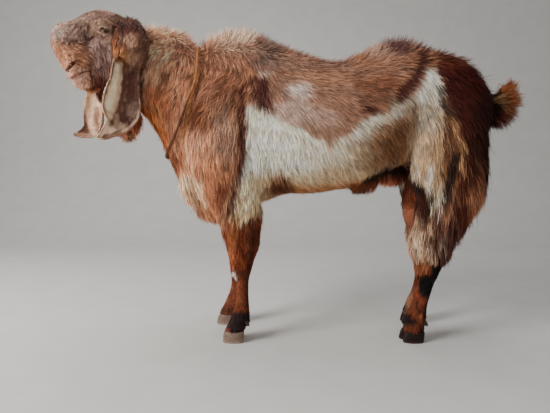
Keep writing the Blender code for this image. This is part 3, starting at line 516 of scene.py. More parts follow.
def triangles_of(mesh):
    mesh.calc_loop_triangles()
    tri = np.empty(len(mesh.loop_triangles) * 3, np.int32)
    mesh.loop_triangles.foreach_get("vertices", tri)
    return tri.reshape(-1, 3)


class Seen:
    """Finds, on a surface, the places that the camera sees at places in the picture."""

    def __init__(self, mesh):
        self.tree = BVHTree.FromPolygons(coords(mesh).tolist(), triangles_of(mesh).tolist())

    def at(self, points):
        eye, found = np.array((0.0, -STAND_OFF, EYE_LEVEL)), []
        for u, v in points:
            ray = unit(from_picture(u, v, -0.15) - eye)
            hit = self.tree.ray_cast(Vector(eye), Vector(ray))[0]
            if hit is not None:
                found.append(hit)
        return np.array(found)


# lines of the face as the picture shows them
MOUTH_SEEN = ((68.5, 78.6), (71.0, 78.4), (73.4, 76.9), (76.2, 74.9), (79.2, 73.4), (82.5, 72.0), (86.0, 71.0), (89.4, 70.6))
NOSTRIL_SEEN = ((74.2, 61.6), (72.0, 63.8), (70.0, 66.8), (68.2, 70.4))
# folds: their line in the picture, depth and half width (m), the colour of their shade, its half width (px) and strength
FOLDS = (
    (((97.0, 30.6), (100.7, 27.6), (104.6, 27.6), (107.4, 29.8)), 0.0016, 0.0016, (92, 62, 52), 0.5, 0.75),
    (((99.6, 36.4), (103.4, 37.8), (107.6, 36.4)), 0.0012, 0.0016, (120, 88, 78), 0.5, 0.6),
    (((98.0, 34.0), (94.6, 35.2), (90.6, 37.3), (87.6, 40.7)), 0.0030, 0.0022, (84, 56, 50), 1.2, 0.5),
    (((90.4, 21.5), (88.6, 26.2), (88.0, 31.0), (86.2, 37.0)), 0.0030, 0.0028, (92, 64, 54), 1.4, 0.5),
    (((93.6, 19.0), (92.8, 24.0), (91.6, 29.0)), 0.0016, 0.0018, (120, 88, 72), 0.5, 0.6),
    (((97.0, 18.0), (96.8, 22.0), (95.6, 26.0)), 0.0012, 0.0016, (120, 88, 72), 0.4, 0.5),
    (((85.6, 31.0), (84.6, 35.0), (85.2, 38.0)), 0.0024, 0.0028, (84, 56, 48), 1.6, 0.4),
    (((82.0, 26.0), (77.6, 32.6), (71.6, 39.6), (67.6, 45.4)), 0.0022, 0.0017, (104, 74, 62), 0.6, 0.7),
    (((77.6, 24.4), (72.6, 30.4), (67.8, 37.4), (64.6, 43.6)), 0.0018, 0.0017, (112, 80, 68), 0.6, 0.65),
    (((84.4, 29.6), (80.6, 34.8), (75.4, 40.4), (71.6, 45.0)), 0.0022, 0.0017, (100, 70, 58), 0.6, 0.7),
    (((71.4, 24.2), (68.2, 29.0), (65.8, 33.0)), 0.0014, 0.0016, (124, 92, 78), 0.5, 0.55),
    (((72.0, 41.6), (79.6, 39.6), (86.2, 41.6)), 0.0020, 0.0017, (96, 66, 54), 0.6, 0.65),
    (((69.0, 45.6), (77.3, 43.3), (84.0, 44.6), (89.6, 47.4)), 0.0020, 0.0017, (104, 70, 54), 0.6, 0.65),
    (((66.0, 49.4), (74.0, 47.0), (82.0, 47.8), (90.0, 52.0)), 0.0018, 0.0017, (108, 72, 54), 0.6, 0.6),
    (((58.4, 46.6), (61.6, 51.4), (67.0, 54.6), (75.0, 55.4), (82.0, 56.8)), 0.0016, 0.0018, (140, 90, 64), 0.6, 0.55),
    (((60.6, 56.4), (66.6, 59.6), (73.4, 60.0), (81.0, 61.2), (87.4, 64.2)), 0.0026, 0.0020, (120, 72, 52), 0.8, 0.7),
    (((75.6, 63.0), (81.0, 65.8), (88.4, 68.4)), 0.0020, 0.0019, (124, 78, 60), 0.7, 0.6),
    (((90.0, 70.0), (91.4, 76.6), (91.0, 84.0), (88.8, 90.0)), 0.0032, 0.0024, (66, 36, 30), 1.0, 0.85),
    (((74.0, 83.6), (79.0, 83.0), (84.0, 80.4)), 0.0016, 0.0020, (168, 116, 92), 0.7, 0.55),
    (((93.0, 44.0), (94.6, 54.0), (95.6, 64.0)), 0.0018, 0.0024, (96, 66, 58), 0.9, 0.55),
    (((100.4, 42.0), (101.2, 52.0), (101.6, 62.0)), 0.0014, 0.0022, (110, 78, 68), 0.7, 0.5),
    (((107.0, 40.0), (106.8, 52.0), (106.0, 64.0)), 0.0014, 0.0022, (104, 72, 62), 0.7, 0.5),
)
MOUTH = ((0.1955, 0.0, -0.0575), (0.1930, 0.010, -0.0580), (0.1840, 0.0200, -0.0580), (0.1680, 0.0270, -0.0572), (0.1450, 0.0320, -0.0545))
NOSTRIL = ((0.1680, 0.0340, -0.0200), (0.1770, 0.0330, -0.0220), (0.1860, 0.0290, -0.0270), (0.1930, 0.0220, -0.0330), (0.1960, 0.0150, -0.0360))
LID_HALF, LID_TOP, LID_LOW = 0.0122, 0.0058, -0.0056


def lid_edge(a, top):
    t = np.clip(1 - (a / LID_HALF) ** 2, 0, 1)
    return np.where(top, LID_TOP * t**0.62, LID_LOW * t**0.78)


def gap_to_line(p, points):
    """Distance from each place to a line of points."""
    points = np.array(points, float)
    best = np.full(len(p), 1e9)
    for a, b in zip(points, points[1:]):
        ab = b - a
        t = np.clip(((p - a) @ ab) / (ab @ ab), 0, 1)
        best = np.minimum(best, np.linalg.norm(p - a - t[:, None] * ab, axis=1))
    return best


def sculpt_head(mesh):
    """Lids, nostrils, mouth and folds, as moves of the head's own vertices."""
    global MOUTH, NOSTRIL
    co = coords(mesh)
    no = normals(mesh)
    q = to_head(co)
    f, l, u = q.T
    side = np.abs(l)
    tree = kdtree.KDTree(len(co))
    for i, v in enumerate(co.tolist()):
        tree.insert(v, i)
    tree.balance()

    def laid(points):
        """The line's points, closer together and moved onto the surface."""
        points = np.array(points, float)
        fine = np.array([np.interp(np.linspace(0, len(points) - 1, 9 * len(points)), np.arange(len(points)), points[:, k]) for k in range(3)]).T
        on = np.array([co[tree.find(from_head(v))[1]] for v in fine])
        on = to_head(on)
        on[:, 1] = np.abs(on[:, 1])
        kept = [on[0]]
        for v in on[1:]:
            if np.linalg.norm(v - kept[-1]) > 0.0012:
                kept.append(v)
        return np.array(kept)

    seen = Seen(mesh)

    def found(points):
        line = to_head(seen.at(points))
        line[:, 1] = np.abs(line[:, 1])
        return laid(line)

    mouth = to_head(seen.at(MOUTH_SEEN))
    MOUTH = laid(np.vstack([(mouth[0, 0] + 0.003, 0.0, mouth[0, 2] + 0.001), np.abs(mouth) * (1, 1, np.sign(mouth[0, 2]))]))
    NOSTRIL = found(NOSTRIL_SEEN)

    def stroke(points, depth, width, sharp=2.0):
        """Presses (or raises) the surface along a line of points, given in the head's frame for the left side."""
        here = np.stack([f, side, u], 1)
        best = gap_to_line(here, points)
        return -depth * np.exp(-((best / width) ** sharp))

    move = np.zeros(len(co))
    # mouth, corner to corner, with the lips' swell
    move += stroke(MOUTH, 0.0052, 0.0019)
    move += stroke(MOUTH - (0, 0, 0.0052), -0.0020, 0.0028)
    move += stroke(MOUTH + (0, 0, 0.0052), -0.0014, 0.0028)
    # nostril with its wing, and the groove between the nostrils
    move += stroke(NOSTRIL, 0.0085, 0.0024)
    move += stroke(NOSTRIL - (0.001, 0, -0.0066), -0.0026, 0.0030)
    move += stroke(NOSTRIL - (0, 0, 0.0064), -0.0014, 0.0028)
    move += stroke(laid(((0.186, 0.0, -0.018), (0.188, 0.0, -0.046))), 0.0016, 0.0020)
    # hollow in front of the eye, the folds
    move += stroke(laid(((0.100, 0.046, 0.018), (0.122, 0.041, 0.016), (0.142, 0.038, 0.020))), 0.0024, 0.0100)
    for points, depth, width, _, _, _ in FOLDS:
        line = found(points)
        if len(line) > 1:
            move += stroke(line, depth * 1.15, width * 1.05)
    move += stroke(laid(((0.020, 0.050, -0.020), (0.034, 0.056, -0.044), (0.060, 0.054, -0.070), (0.090, 0.045, -0.078))), 0.0022, 0.0075)
    # fine rippling of the nose's and the cheek's skin, across the run of the hair
    ripple = noise(np.stack([f * 0.45 + u * 0.5, l * 0.5, u * 1.1 - f * 0.9], 1), 0.0052, 7) * smoothstep(0.02, 0.06, f)
    move += noise(co, 0.013, 5) * 0.0008 + noise(co, 0.005, 6) * 0.0003 + ripple * 0.0007
    co += no * (move * np.clip(head_share(co), 0, 1))[:, None]

    # lids over the eyeball
    for s in (1, -1):
        at, look, ahead, above = eye_axes(s)
        d = co - at
        a, b, h = d @ ahead, d @ above, d @ look
        r = np.hypot(a, b)
        near = (r < 0.034) & (h > -0.006) & (np.abs(q[:, 1] - EYE_AT[1] * s) < 0.035)
        top = b > 0
        edge = lid_edge(a, top)
        inside = near & (np.abs(a) < LID_HALF) & (np.abs(b) < np.abs(edge))
        lid_r = EYE_R + 0.0019
        shell = np.sqrt(np.maximum(lid_r**2 - r**2, 0))
        # the lid's own roll along its edge, heavier above
        gap = np.abs(b) - np.abs(edge)
        roll = np.where(np.abs(a) < LID_HALF * 1.08, np.exp(-((np.maximum(gap, 0) / 0.0022) ** 2)), 0) * np.where(top, 0.0013, 0.0008)
        wanted = shell + roll
        k = 0.0022
        soft = np.log(np.exp(np.clip(h / k, -40, 40)) + np.exp(np.clip(wanted / k, -40, 40))) * k
        raised = np.where(r < lid_r * 1.15, soft, h)
        # creases above and below the lids
        ring_r = np.hypot(a / 1.15, b)
        raised = raised - 0.0013 * np.exp(-(((ring_r - 0.0138) / 0.0015) ** 2)) * (b > 0.001) - 0.0008 * np.exp(-(((ring_r - 0.0150) / 0.0016) ** 2)) * (b < -0.001)
        raised = raised + 0.0012 * np.exp(-(((ring_r - 0.0190) / 0.0030) ** 2)) * (b > 0.002)
        sunk = np.sqrt(np.maximum((EYE_R - 0.0022) ** 2 - r**2, 0))
        height = np.where(inside, sunk, raised)
        co = np.where(near[:, None], co + look * (height - h)[:, None], co)
        # vertices beside the edge are drawn onto it, so that the lid ends in a clean line
        d = co - at
        a, b = d @ ahead, d @ above
        edge = lid_edge(a, b > 0)
        off = np.abs(b) - np.abs(edge)
        close = near & (np.abs(a) < LID_HALF * 0.97) & (np.abs(off) < 0.0006)
        co = np.where(close[:, None], co - above * (np.sign(b) * off)[:, None], co)
    set_coords(mesh, co)


def finer_near(mesh, places, reach):
    """Splits the faces near the given places into four."""
    bm = bmesh.new()
    bm.from_mesh(mesh)
    chosen = [e for e in bm.edges if any((e.verts[0].co - Vector(p)).length < reach for p in places)]
    bmesh.ops.subdivide_edges(bm, edges=chosen, cuts=1, use_grid_fill=True)
    bm.to_mesh(mesh)
    bm.free()


def body_skin():
    meshes = [trunk_skin(), neck_skin(), tail_skin()]
    meshes += [leg_skin(FORE_LEFT, FORE_IN, False), leg_skin(FORE_RIGHT, FORE_IN, False)]
    meshes += [leg_skin(HIND_LEFT, HIND_IN, True), leg_skin(HIND_RIGHT, HIND_IN, True)]
    meshes.append(ball((-0.226, 0, 0.492), 0.058, 0.074, 0.098))
    meshes.append(ball((-0.180, 0, 0.402), 0.062, 0.064, 0.048))
    meshes.append(ball((0.258, 0, 0.456), 0.052, 0.022, 0.022))
    meshes.append(ball((0.340, 0, 0.484), 0.052, 0.030, 0.026))
    meshes.append(ball((-0.419, -0.088, 0.643), 0.034, 0.040, 0.048))
    return fused(joined(meshes, "skin_body"), 0.0064, 3)


def head_skin():
    head = fused(joined(head_skins() + [neck_skin(-0.335, 0.0006)], "skin_head"), 0.0020, 3)
    return head


def skin_object():
    body, head = body_skin(), head_skin()
    m = body.modifiers.new("join", "BOOLEAN")
    m.operation, m.solver, m.object = "UNION", "MANIFOLD", head
    baked(body)
    drop(head)
    finer_near(body.data, [from_head(EYE_AT * (1, 1, 1)), from_head(EYE_AT * (1, -1, 1))], 0.021)
    body.data.update()
    sculpt_head(body.data)
    body.name = "skin"
    return body


# ---------------------------------------------------------------- markings
def polygon_gap(at, corners):
    """Distance from each place to a polygon's edge, below 0 inside it."""
    corners = np.array(corners, float)
    best = np.full(len(at), 1e9)
    inside = np.zeros(len(at), bool)
    for i in range(len(corners)):
        a, b = corners[i - 1], corners[i]
        ab = b - a
        t = np.clip(((at - a) @ ab) / max(ab @ ab, 1e-9), 0, 1)
        best = np.minimum(best, np.linalg.norm(at - a - t[:, None] * ab, axis=1))
        crosses = ((a[1] > at[:, 1]) != (b[1] > at[:, 1])) & (at[:, 0] < (b[0] - a[0]) * (at[:, 1] - a[1]) / (b[1] - a[1] + 1e-12) + a[0])
        inside ^= crosses
    return np.where(inside, -best, best)


def line_gap(at, points, half):
    points = np.array(points, float)
    best = np.full(len(at), 1e9)
    for a, b in zip(points, points[1:]):
        ab = b - a
        t = np.clip(((at - a) @ ab) / max(ab @ ab, 1e-9), 0, 1)
        best = np.minimum(best, np.linalg.norm(at - a - t[:, None] * ab, axis=1))
    return best - half


def oval_gap(at, centre, radii):
    d = (at - np.array(centre, float)) / np.array(radii, float)
    r = np.linalg.norm(d, axis=1)
    return (r - 1) * min(radii)


WHITE_PATCH = ((250, 98), (262, 105), (275, 115), (283, 118), (300, 125), (312, 133), (322, 137), (329, 145), (335, 135), (350, 127), (358, 117), (370, 112), (385, 110), (386, 103), (400, 98), (410, 93), (418, 85), (422, 68), (428, 66), (434, 76), (440, 88), (441, 103), (446, 117), (449, 125), (451, 140), (456, 155), (448, 172), (441, 190), (436, 204), (427, 185), (415, 170), (405, 163), (390, 163), (375, 170), (362, 186), (334, 190), (300, 195), (275, 193), (262, 207), (250, 212), (240, 206), (230, 200), (232, 190), (238, 170), (243, 150), (247, 130), (248, 110))

# each layer: shape, its numbers, colour, softness of its edge, strength
P, S, O = "area", "line", "oval"
BODY_LAYERS = (
    # neck
    (P, ((100, 0), (198, 25), (200, 60), (192, 110), (166, 158), (138, 128), (120, 100)), (214, 150, 116), 8, 1.0),
    (O, ((160, 42), (27, 18)), (248, 188, 156), 12, 0.9),
    (O, ((186, 46), (12, 10)), (196, 148, 122), 8, 0.7),
    # painted shade along the neck behind the hanging ear
    (O, ((145, 62), (4, 34)), (98, 54, 40), 6, 0.3),
    (O, ((151, 60), (11, 18)), (250, 192, 156), 7, 0.85),
    # painted shadow: the dark gap between the hanging ear and the neck
    (S, ((139, 58), (141, 80), (142, 100)), 2.5, (44, 24, 20), 4, 0.85),
    (O, ((160, 95), (14, 22)), (206, 120, 76), 12, 0.6),
    (O, ((165, 72), (9, 10)), (232, 166, 130), 7, 0.5),
    (P, ((138, 96), (158, 106), (168, 130), (168, 158), (150, 142), (138, 122)), (240, 144, 86), 8, 0.9),
    (S, ((143, 100), (152, 122), (163, 146)), 2.0, (126, 62, 36), 5, 0.6),
    # shoulder and breast
    (P, ((198, 60), (252, 52), (252, 100), (242, 150), (232, 205), (218, 232), (188, 208), (164, 164), (184, 130)), (178, 122, 90), 9, 1.0),
    (O, ((216, 80), (24, 14)), (180, 124, 98), 12, 0.6),
    (O, ((200, 107), (9, 16)), (98, 49, 26), 8, 0.85),
    (O, ((198, 138), (17, 16)), (236, 176, 142), 10, 0.75),
    (O, ((230, 94), (11, 13)), (116, 74, 58), 7, 0.55),
    (S, ((198, 58), (194, 88), (185, 128)), 3.2, (216, 150, 98), 3, 0.8),
    (S, ((203, 62), (200, 92), (192, 118)), 1.6, (84, 44, 30), 3, 0.75),
    (O, ((210, 165), (18, 34)), (196, 132, 94), 14, 0.6),
    (O, ((170, 157), (9, 15)), (150, 86, 54), 8, 0.85),
    (O, ((171, 176), (6, 12)), (208, 156, 128), 6, 0.3),
    (O, ((187, 177), (13, 16)), (252, 206, 170), 9, 0.9),
    (O, ((192, 190), (9, 14)), (252, 204, 168), 7, 0.9),
    (O, ((222, 184), (9, 16)), (112, 52, 34), 9, 0.85),
    (O, ((208, 217), (16, 9)), (204, 152, 122), 6, 0.7),
    (O, ((226, 126), (12, 28)), (176, 140, 120), 10, 0.7),
    (O, ((228, 205), (6, 14)), (150, 92, 74), 5, 0.6),
    (O, ((226, 41), (32, 11)), (232, 190, 164), 9, 0.9),
    (O, ((226, 60), (26, 8)), (182, 130, 104), 8, 0.75),
    # back and flank
    (P, ((250, 30), (300, 45), (350, 60), (350, 74), (300, 72), (256, 66)), (148, 110, 90), 8, 1.0),
    (O, ((262, 54), (14, 13)), (130, 102, 90), 8, 0.7),
    (O, ((262, 71), (7, 4)), (190, 164, 150), 4, 0.8),
    (P, ((264, 75), (350, 70), (404, 64), (400, 92), (368, 108), (352, 124), (330, 138), (310, 132), (283, 116), (272, 104)), (154, 112, 90), 8, 1.0),
    (O, ((322, 78), (30, 7)), (172, 124, 94), 7, 0.5),
    (O, ((378, 84), (24, 9)), (138, 86, 60), 9, 0.75),
    (O, ((374, 97), (18, 7)), (126, 80, 64), 6, 0.6),
    (O, ((295, 89), (12, 8)), (208, 188, 178), 9, 0.85),
    (O, ((288, 108), (24, 11)), (200, 176, 162), 8, 0.65),
    (O, ((318, 116), (20, 9)), (190, 160, 144), 7, 0.5),
    (O, ((380, 52), (26, 11)), (180, 144, 124), 8, 0.85),
    (O, ((395, 50), (14, 9)), (84, 46, 42), 6, 0.9),
    # white patch and its tints, with painted shade in the hollow between flank and thigh and along the thigh's front
    # edge, and a painted shadow in the armpit
    (P, WHITE_PATCH, (252, 240, 218), 3.0, 1.0),
    (O, ((340, 150), (40, 16)), (232, 212, 186), 14, 0.6),
    (P, ((232, 176), (262, 164), (300, 166), (345, 156), (376, 150), (384, 168), (362, 188), (334, 192), (300, 197), (275, 196), (262, 209), (240, 216), (226, 206)), (224, 186, 142), 16, 0.85),
    (P, ((270, 176), (300, 180), (340, 178), (370, 170), (374, 178), (362, 190), (334, 194), (300, 200), (272, 198)), (188, 122, 68), 9, 0.8),
    # painted shade in the hollow between flank and thigh, darkest in its middle
    (P, ((350, 142), (370, 122), (396, 105), (414, 97), (418, 112), (413, 134), (409, 168), (388, 168), (356, 166)), (156, 114, 80), 16, 0.95),
    (P, ((376, 136), (392, 120), (408, 112), (410, 128), (402, 146), (396, 160), (380, 156)), (108, 64, 38), 10, 0.7),
    (O, ((404, 154), (5, 12)), (166, 118, 72), 6, 0.6),
    (P, ((384, 106), (402, 98), (416, 84), (422, 68), (428, 66), (434, 78), (424, 92), (404, 108), (386, 116)), (218, 214, 204), 6, 0.6),
    # painted shade along the thigh's front edge
    (O, ((411, 112), (8, 18)), (128, 102, 76), 8, 0.85),
    (O, ((396, 100), (11, 10)), (142, 120, 98), 7, 0.7),
    (O, ((430, 148), (16, 34)), (192, 156, 118), 12, 0.9),
    # painted shade along the thigh's front edge, lower down
    (O, ((411, 150), (5, 24)), (176, 136, 100), 7, 0.55),
    (P, ((432, 100), (446, 108), (450, 130), (449, 160), (441, 178), (430, 172)), (190, 154, 116), 5, 0.85),
    (P, ((437, 92), (456, 96), (466, 130), (462, 165), (446, 184), (440, 172), (442, 140)), (102, 64, 40), 3.0, 0.95),
    (O, ((352, 152), (14, 18)), (204, 178, 148), 10, 0.6),
    (O, ((429, 112), (10, 22)), (184, 164, 140), 8, 0.75),
    (O, ((430, 176), (10, 14)), (198, 162, 122), 8, 0.8),
    # painted shadow in the armpit, between the fore leg and the belly
    (O, ((276, 181), (11.0, 17)), (122, 68, 38), 8, 0.85),
    (O, ((276, 187), (7, 9)), (66, 28, 15), 5, 0.85),
    (O, ((264, 202), (7, 9)), (136, 82, 52), 6, 0.65),
    # dark marks
    (S, ((417, 46), (414, 68), (406, 82), (395, 94)), 5.2, (78, 38, 34), 3.2, 0.97),
    (O, ((366, 108), (9.5, 4.2)), (84, 40, 36), 2.6, 0.95),
    (P, ((256, 74), (264, 73), (268, 90), (272, 108), (264, 108), (255, 92)), (84, 44, 40), 2.6, 0.95),
    (S, ((242, 88), (249, 80), (256, 76)), 3.0, (86, 44, 40), 2.6, 0.9),
    (S, ((247, 88), (244, 120), (241, 150), (236, 176), (228, 206)), 3.2, (82, 40, 36), 2.8, 0.95),
    # rump
    (P, ((427, 57), (450, 55), (480, 70), (520, 95), (520, 150), (472, 146), (458, 128), (448, 108), (440, 86)), (68, 20, 12), 5, 1.0),
    (O, ((448, 62), (20, 6)), (104, 50, 32), 6, 0.7),
    (S, ((436, 84), (440, 100), (446, 112)), 2.2, (40, 22, 20), 2.5, 0.8),
    (O, ((482, 116), (16, 32)), (48, 18, 13), 10, 0.85),
    (P, ((455, 126), (520, 110), (520, 195), (490, 214), (462, 232), (450, 206), (458, 165)), (76, 32, 18), 6, 1.0),
    (O, ((480, 144), (12, 28)), (44, 16, 10), 10, 0.85),
    (O, ((465, 134), (7, 13)), (54, 21, 12), 6, 0.75),
    (O, ((474, 188), (10, 18)), (172, 114, 84), 9, 0.75),
    (S, ((449, 116), (458, 133), (461, 154), (462, 166)), 2.2, (196, 148, 104), 3, 0.75),
    (S, ((474, 150), (476, 168), (477, 190)), 1.2, (150, 96, 66), 3, 0.5),
    (S, ((455, 148), (449, 168), (445, 192)), 4.8, (36, 20, 16), 2.8, 0.9),
    (S, ((428, 178), (432, 202)), 2.6, (34, 19, 15), 2.8, 0.9),
    (S, ((431, 160), (428, 172), (426, 181)), 2.4, (236, 224, 208), 2.0, 0.95),
    # groin
    (P, ((340, 182), (375, 173), (402, 168), (420, 184), (428, 206), (412, 226), (398, 204), (368, 206), (348, 200)), (124, 48, 24), 4, 1.0),
    (O, ((388, 182), (12, 8)), (240, 146, 112), 4, 0.9),
    (O, ((362, 190), (11, 7)), (46, 13, 9), 4, 0.95),
    (S, ((370, 175), (386, 167), (400, 166), (412, 174), (422, 188), (430, 202)), 4.6, (28, 13, 10), 3.0, 0.97),
    (P, ((413, 186), (430, 192), (431, 214), (411, 212)), (62, 24, 16), 4, 0.9),
    # stifle to hock
    (P, ((403, 214), (412, 206), (426, 210), (436, 216), (434, 238), (440, 262), (405, 262)), (180, 146, 118), 5, 1.0),
    (O, ((418, 238), (8, 13)), (222, 198, 172), 6, 0.6),
    (S, ((424, 214), (427, 232), (424, 250)), 1.6, (108, 66, 48), 3, 0.8),
    (S, ((407, 222), (409, 240)), 1.2, (150, 100, 72), 2.5, 0.6),
    (S, ((412, 214), (416, 236), (414, 250)), 1.6, (140, 84, 56), 3, 0.7),
    (P, ((432, 206), (462, 208), (462, 238), (444, 264), (434, 250), (430, 226)), (80, 46, 36), 5, 0.95),
    (S, ((432, 216), (436, 236), (434, 252)), 1.4, (92, 52, 38), 3, 0.6),
    (S, ((440, 214), (444, 236)), 1.2, (222, 204, 186), 3, 0.6),
    (O, ((408, 232), (4, 14)), (206, 160, 122), 5, 0.6),
    # fore leg
    (P, ((214, 222), (228, 218), (246, 218), (254, 206), (270, 206), (262, 262), (256, 345), (205, 345), (215, 262)), (118, 54, 27), 10, 1.0),
    (S, ((236, 204), (235, 220), (236, 228)), 3.0, (176, 116, 74), 5, 0.35),
    (S, ((230, 214), (231, 232), (233, 250)), 2.0, (178, 108, 68), 4, 0.4),
    (S, ((247, 214), (246, 240)), 1.4, (176, 108, 68), 3, 0.4),
    (S, ((243, 212), (243, 238), (243, 256)), 1.4, (88, 42, 28), 3, 0.7),
    # painted shade down the back of the fore leg
    (S, ((252, 214), (249, 262), (247, 304)), 3.0, (74, 38, 26), 4, 0.85),
    (O, ((230, 246), (5, 24)), (176, 104, 64), 6, 0.6),
    (O, ((241, 292), (5, 16)), (128, 70, 46), 6, 0.7),
    (S, ((233.5, 270), (236.5, 276)), 1.3, (250, 244, 238), 1.0, 1.0),
    (S, ((238, 280), (239, 300)), 1.2, (160, 92, 60), 2.5, 0.6),
    # painted shade at the back of the cannon
    (S, ((247, 284), (247, 306)), 1.6, (72, 36, 26), 3, 0.6),
    (O, ((241, 270), (2.8, 2.2)), (54, 30, 24), 1.5, 0.8),
    (P, ((223, 312), (252, 309), (252, 336), (221, 336)), (36, 24, 27), 3, 0.97),
    (O, ((227, 329), (4.5, 4)), (116, 52, 38), 2.5, 0.9),
    # hind leg
    (P, ((398, 258), (450, 258), (444, 290), (440, 345), (394, 345), (408, 300)), (118, 58, 34), 4, 1.0),
    (O, ((421, 262), (9, 7)), (150, 90, 60), 4, 0.8),
    (O, ((437, 272), (5.5, 24)), (12, 8, 7), 4, 1.0),
    (S, ((411, 273), (434, 272)), 2.4, (20, 13, 11), 2, 0.95),
    (S, ((436, 258), (439, 286), (435, 314)), 3.6, (16, 10, 9), 3, 0.95),
    (S, ((416, 274), (417, 284), (414, 290)), 1.4, (18, 11, 10), 1.5, 0.9),
    (S, ((419, 294), (417, 305), (420, 311)), 1.3, (30, 17, 14), 1.5, 0.85),
    (S, ((401, 322), (408, 317), (413, 321), (418, 315)), 1.8, (16, 10, 10), 1.6, 0.9),
    (O, ((420, 315), (3, 3)), (176, 96, 62), 2, 0.8),
    (O, ((410, 300), (3, 8)), (120, 74, 50), 3, 0.7),
    (O, ((427, 284), (8.5, 12)), (7, 7, 7), 2.4, 1.0),
    (O, ((416, 288), (3.5, 10)), (134, 62, 36), 2.5, 0.8),
    (O, ((416, 283), (1.6, 1.8)), (24, 14, 12), 1.5, 0.9),
    (O, ((414, 294), (1.6, 2.0)), (24, 14, 12), 1.5, 0.9),
    (O, ((422, 301), (5, 5)), (132, 64, 36), 3, 0.8),
    (O, ((430, 311), (7.0, 13)), (18, 11, 10), 4, 0.97),
    (O, ((406, 318), (7, 6)), (26, 15, 13), 3, 0.95),
    (O, ((411, 331), (8, 6)), (108, 52, 34), 3, 0.8),
    (O, ((424, 332), (6, 8)), (40, 22, 16), 4, 0.8),
    (O, ((400, 333), (2.5, 9)), (28, 17, 14), 2, 0.9),
)
HEAD_LAYERS = (
    (P, ((48, 16), (112, 4), (116, 34), (92, 46), (60, 50), (46, 42)), (188, 152, 132), 12, 0.9),
    (O, ((72, 31), (15, 7)), (230, 194, 178), 9, 0.8),
    (O, ((89, 36), (4.0, 4.5)), (92, 62, 54), 4, 0.7),
    # painted highlight on the ridge of the nose
    (O, ((80, 18), (12, 5)), (206, 178, 162), 5, 0.6),
    (O, ((84, 30), (8, 10)), (152, 118, 100), 8, 0.6),
    (O, ((68, 43), (12, 4)), (150, 112, 92), 6, 0.3),
    (P, ((50, 46), (88, 42), (94, 60), (88, 74), (66, 78), (52, 62)), (232, 166, 128), 10, 0.95),
    (O, ((60, 49), (5, 9)), (176, 120, 92), 5, 0.7),
    (O, ((76, 52), (9, 5)), (176, 124, 96), 6, 0.5),
    (O, ((82, 64), (9, 6)), (186, 124, 96), 6, 0.5),
    (O, ((86, 47), (6, 6)), (128, 90, 74), 5, 0.65),
    (O, ((58, 33), (2.6, 3.4)), (176, 168, 166), 3, 0.6),
    (S, ((62, 68), (70, 75), (80, 73)), 1.8, (208, 138, 114), 3, 0.7),
    (O, ((72, 81), (6, 4)), (226, 170, 150), 4, 0.9),
    (O, ((80, 85), (7, 4)), (226, 180, 152), 4, 0.85),
    (O, ((88, 84), (5, 7)), (180, 118, 86), 5, 0.7),
    (P, ((88, 40), (116, 34), (118, 74), (104, 78), (92, 68), (88, 54)), (216, 178, 166), 12, 0.9),
    (O, ((105, 66), (9, 12)), (150, 108, 96), 9, 0.5),
    # darker hair under the cheek, deepened as painted shade
    (O, ((100, 86), (9, 14)), (122, 64, 50), 8, 0.9),
    (O, ((80, 73), (9, 7)), (242, 190, 166), 5, 0.8),
    (O, ((82, 83), (8, 5)), (226, 172, 146), 4, 0.7),
    # dark hair under the jaw, deepened as painted shade
    (O, ((106, 92), (8, 14)), (84, 36, 26), 8, 0.85),
    (O, ((103, 26), (10, 10)), (192, 152, 128), 7, 0.85),
    (O, ((100, 14), (13, 5)), (186, 148, 134), 6, 0.7),
    (O, ((109, 40), (5, 8)), (244, 200, 176), 5, 0.8),
    # painted highlight on the brow ridge above the eye
    (O, ((103, 27), (7, 3)), (238, 194, 168), 3, 0.75),
    (O, ((89, 60), (4, 10)), (108, 68, 54), 5, 0.75),
    (S, ((112, 14), (113, 34)), 1.8, (108, 66, 54), 4, 0.7),
    # painted shade in the creases in front of the eye
    (S, ((98, 35), (90, 38), (82, 43)), 1.3, (92, 62, 52), 2.5, 0.8),
    (S, ((97, 22), (94, 30), (92, 37)), 0.9, (122, 86, 72), 2.5, 0.6),
    (O, ((88, 95), (5, 8)), (214, 130, 66), 3, 0.9),
    (O, ((126, 30), (14, 14)), (112, 66, 50), 6, 0.8),
    # dark red-brown hair at the throat, with painted shade under the jaw and ear
    (P, ((100, 100), (150, 96), (150, 150), (98, 150)), (136, 66, 36), 6, 0.95),
    (O, ((128, 138), (18, 9)), (226, 142, 86), 6, 0.85),
)
# painted shade in the nostril's and the mouth's slits
HEAD_LAYERS += ((S, NOSTRIL_SEEN, 1.1, (58, 26, 28), 1.0, 0.97), (S, MOUTH_SEEN, 0.5, (78, 42, 36), 1.0, 0.9))
# each fold's line of painted shade
HEAD_LAYERS += tuple((S, points, half, rgb, 1.6, strength) for points, _, _, rgb, half, strength in FOLDS)
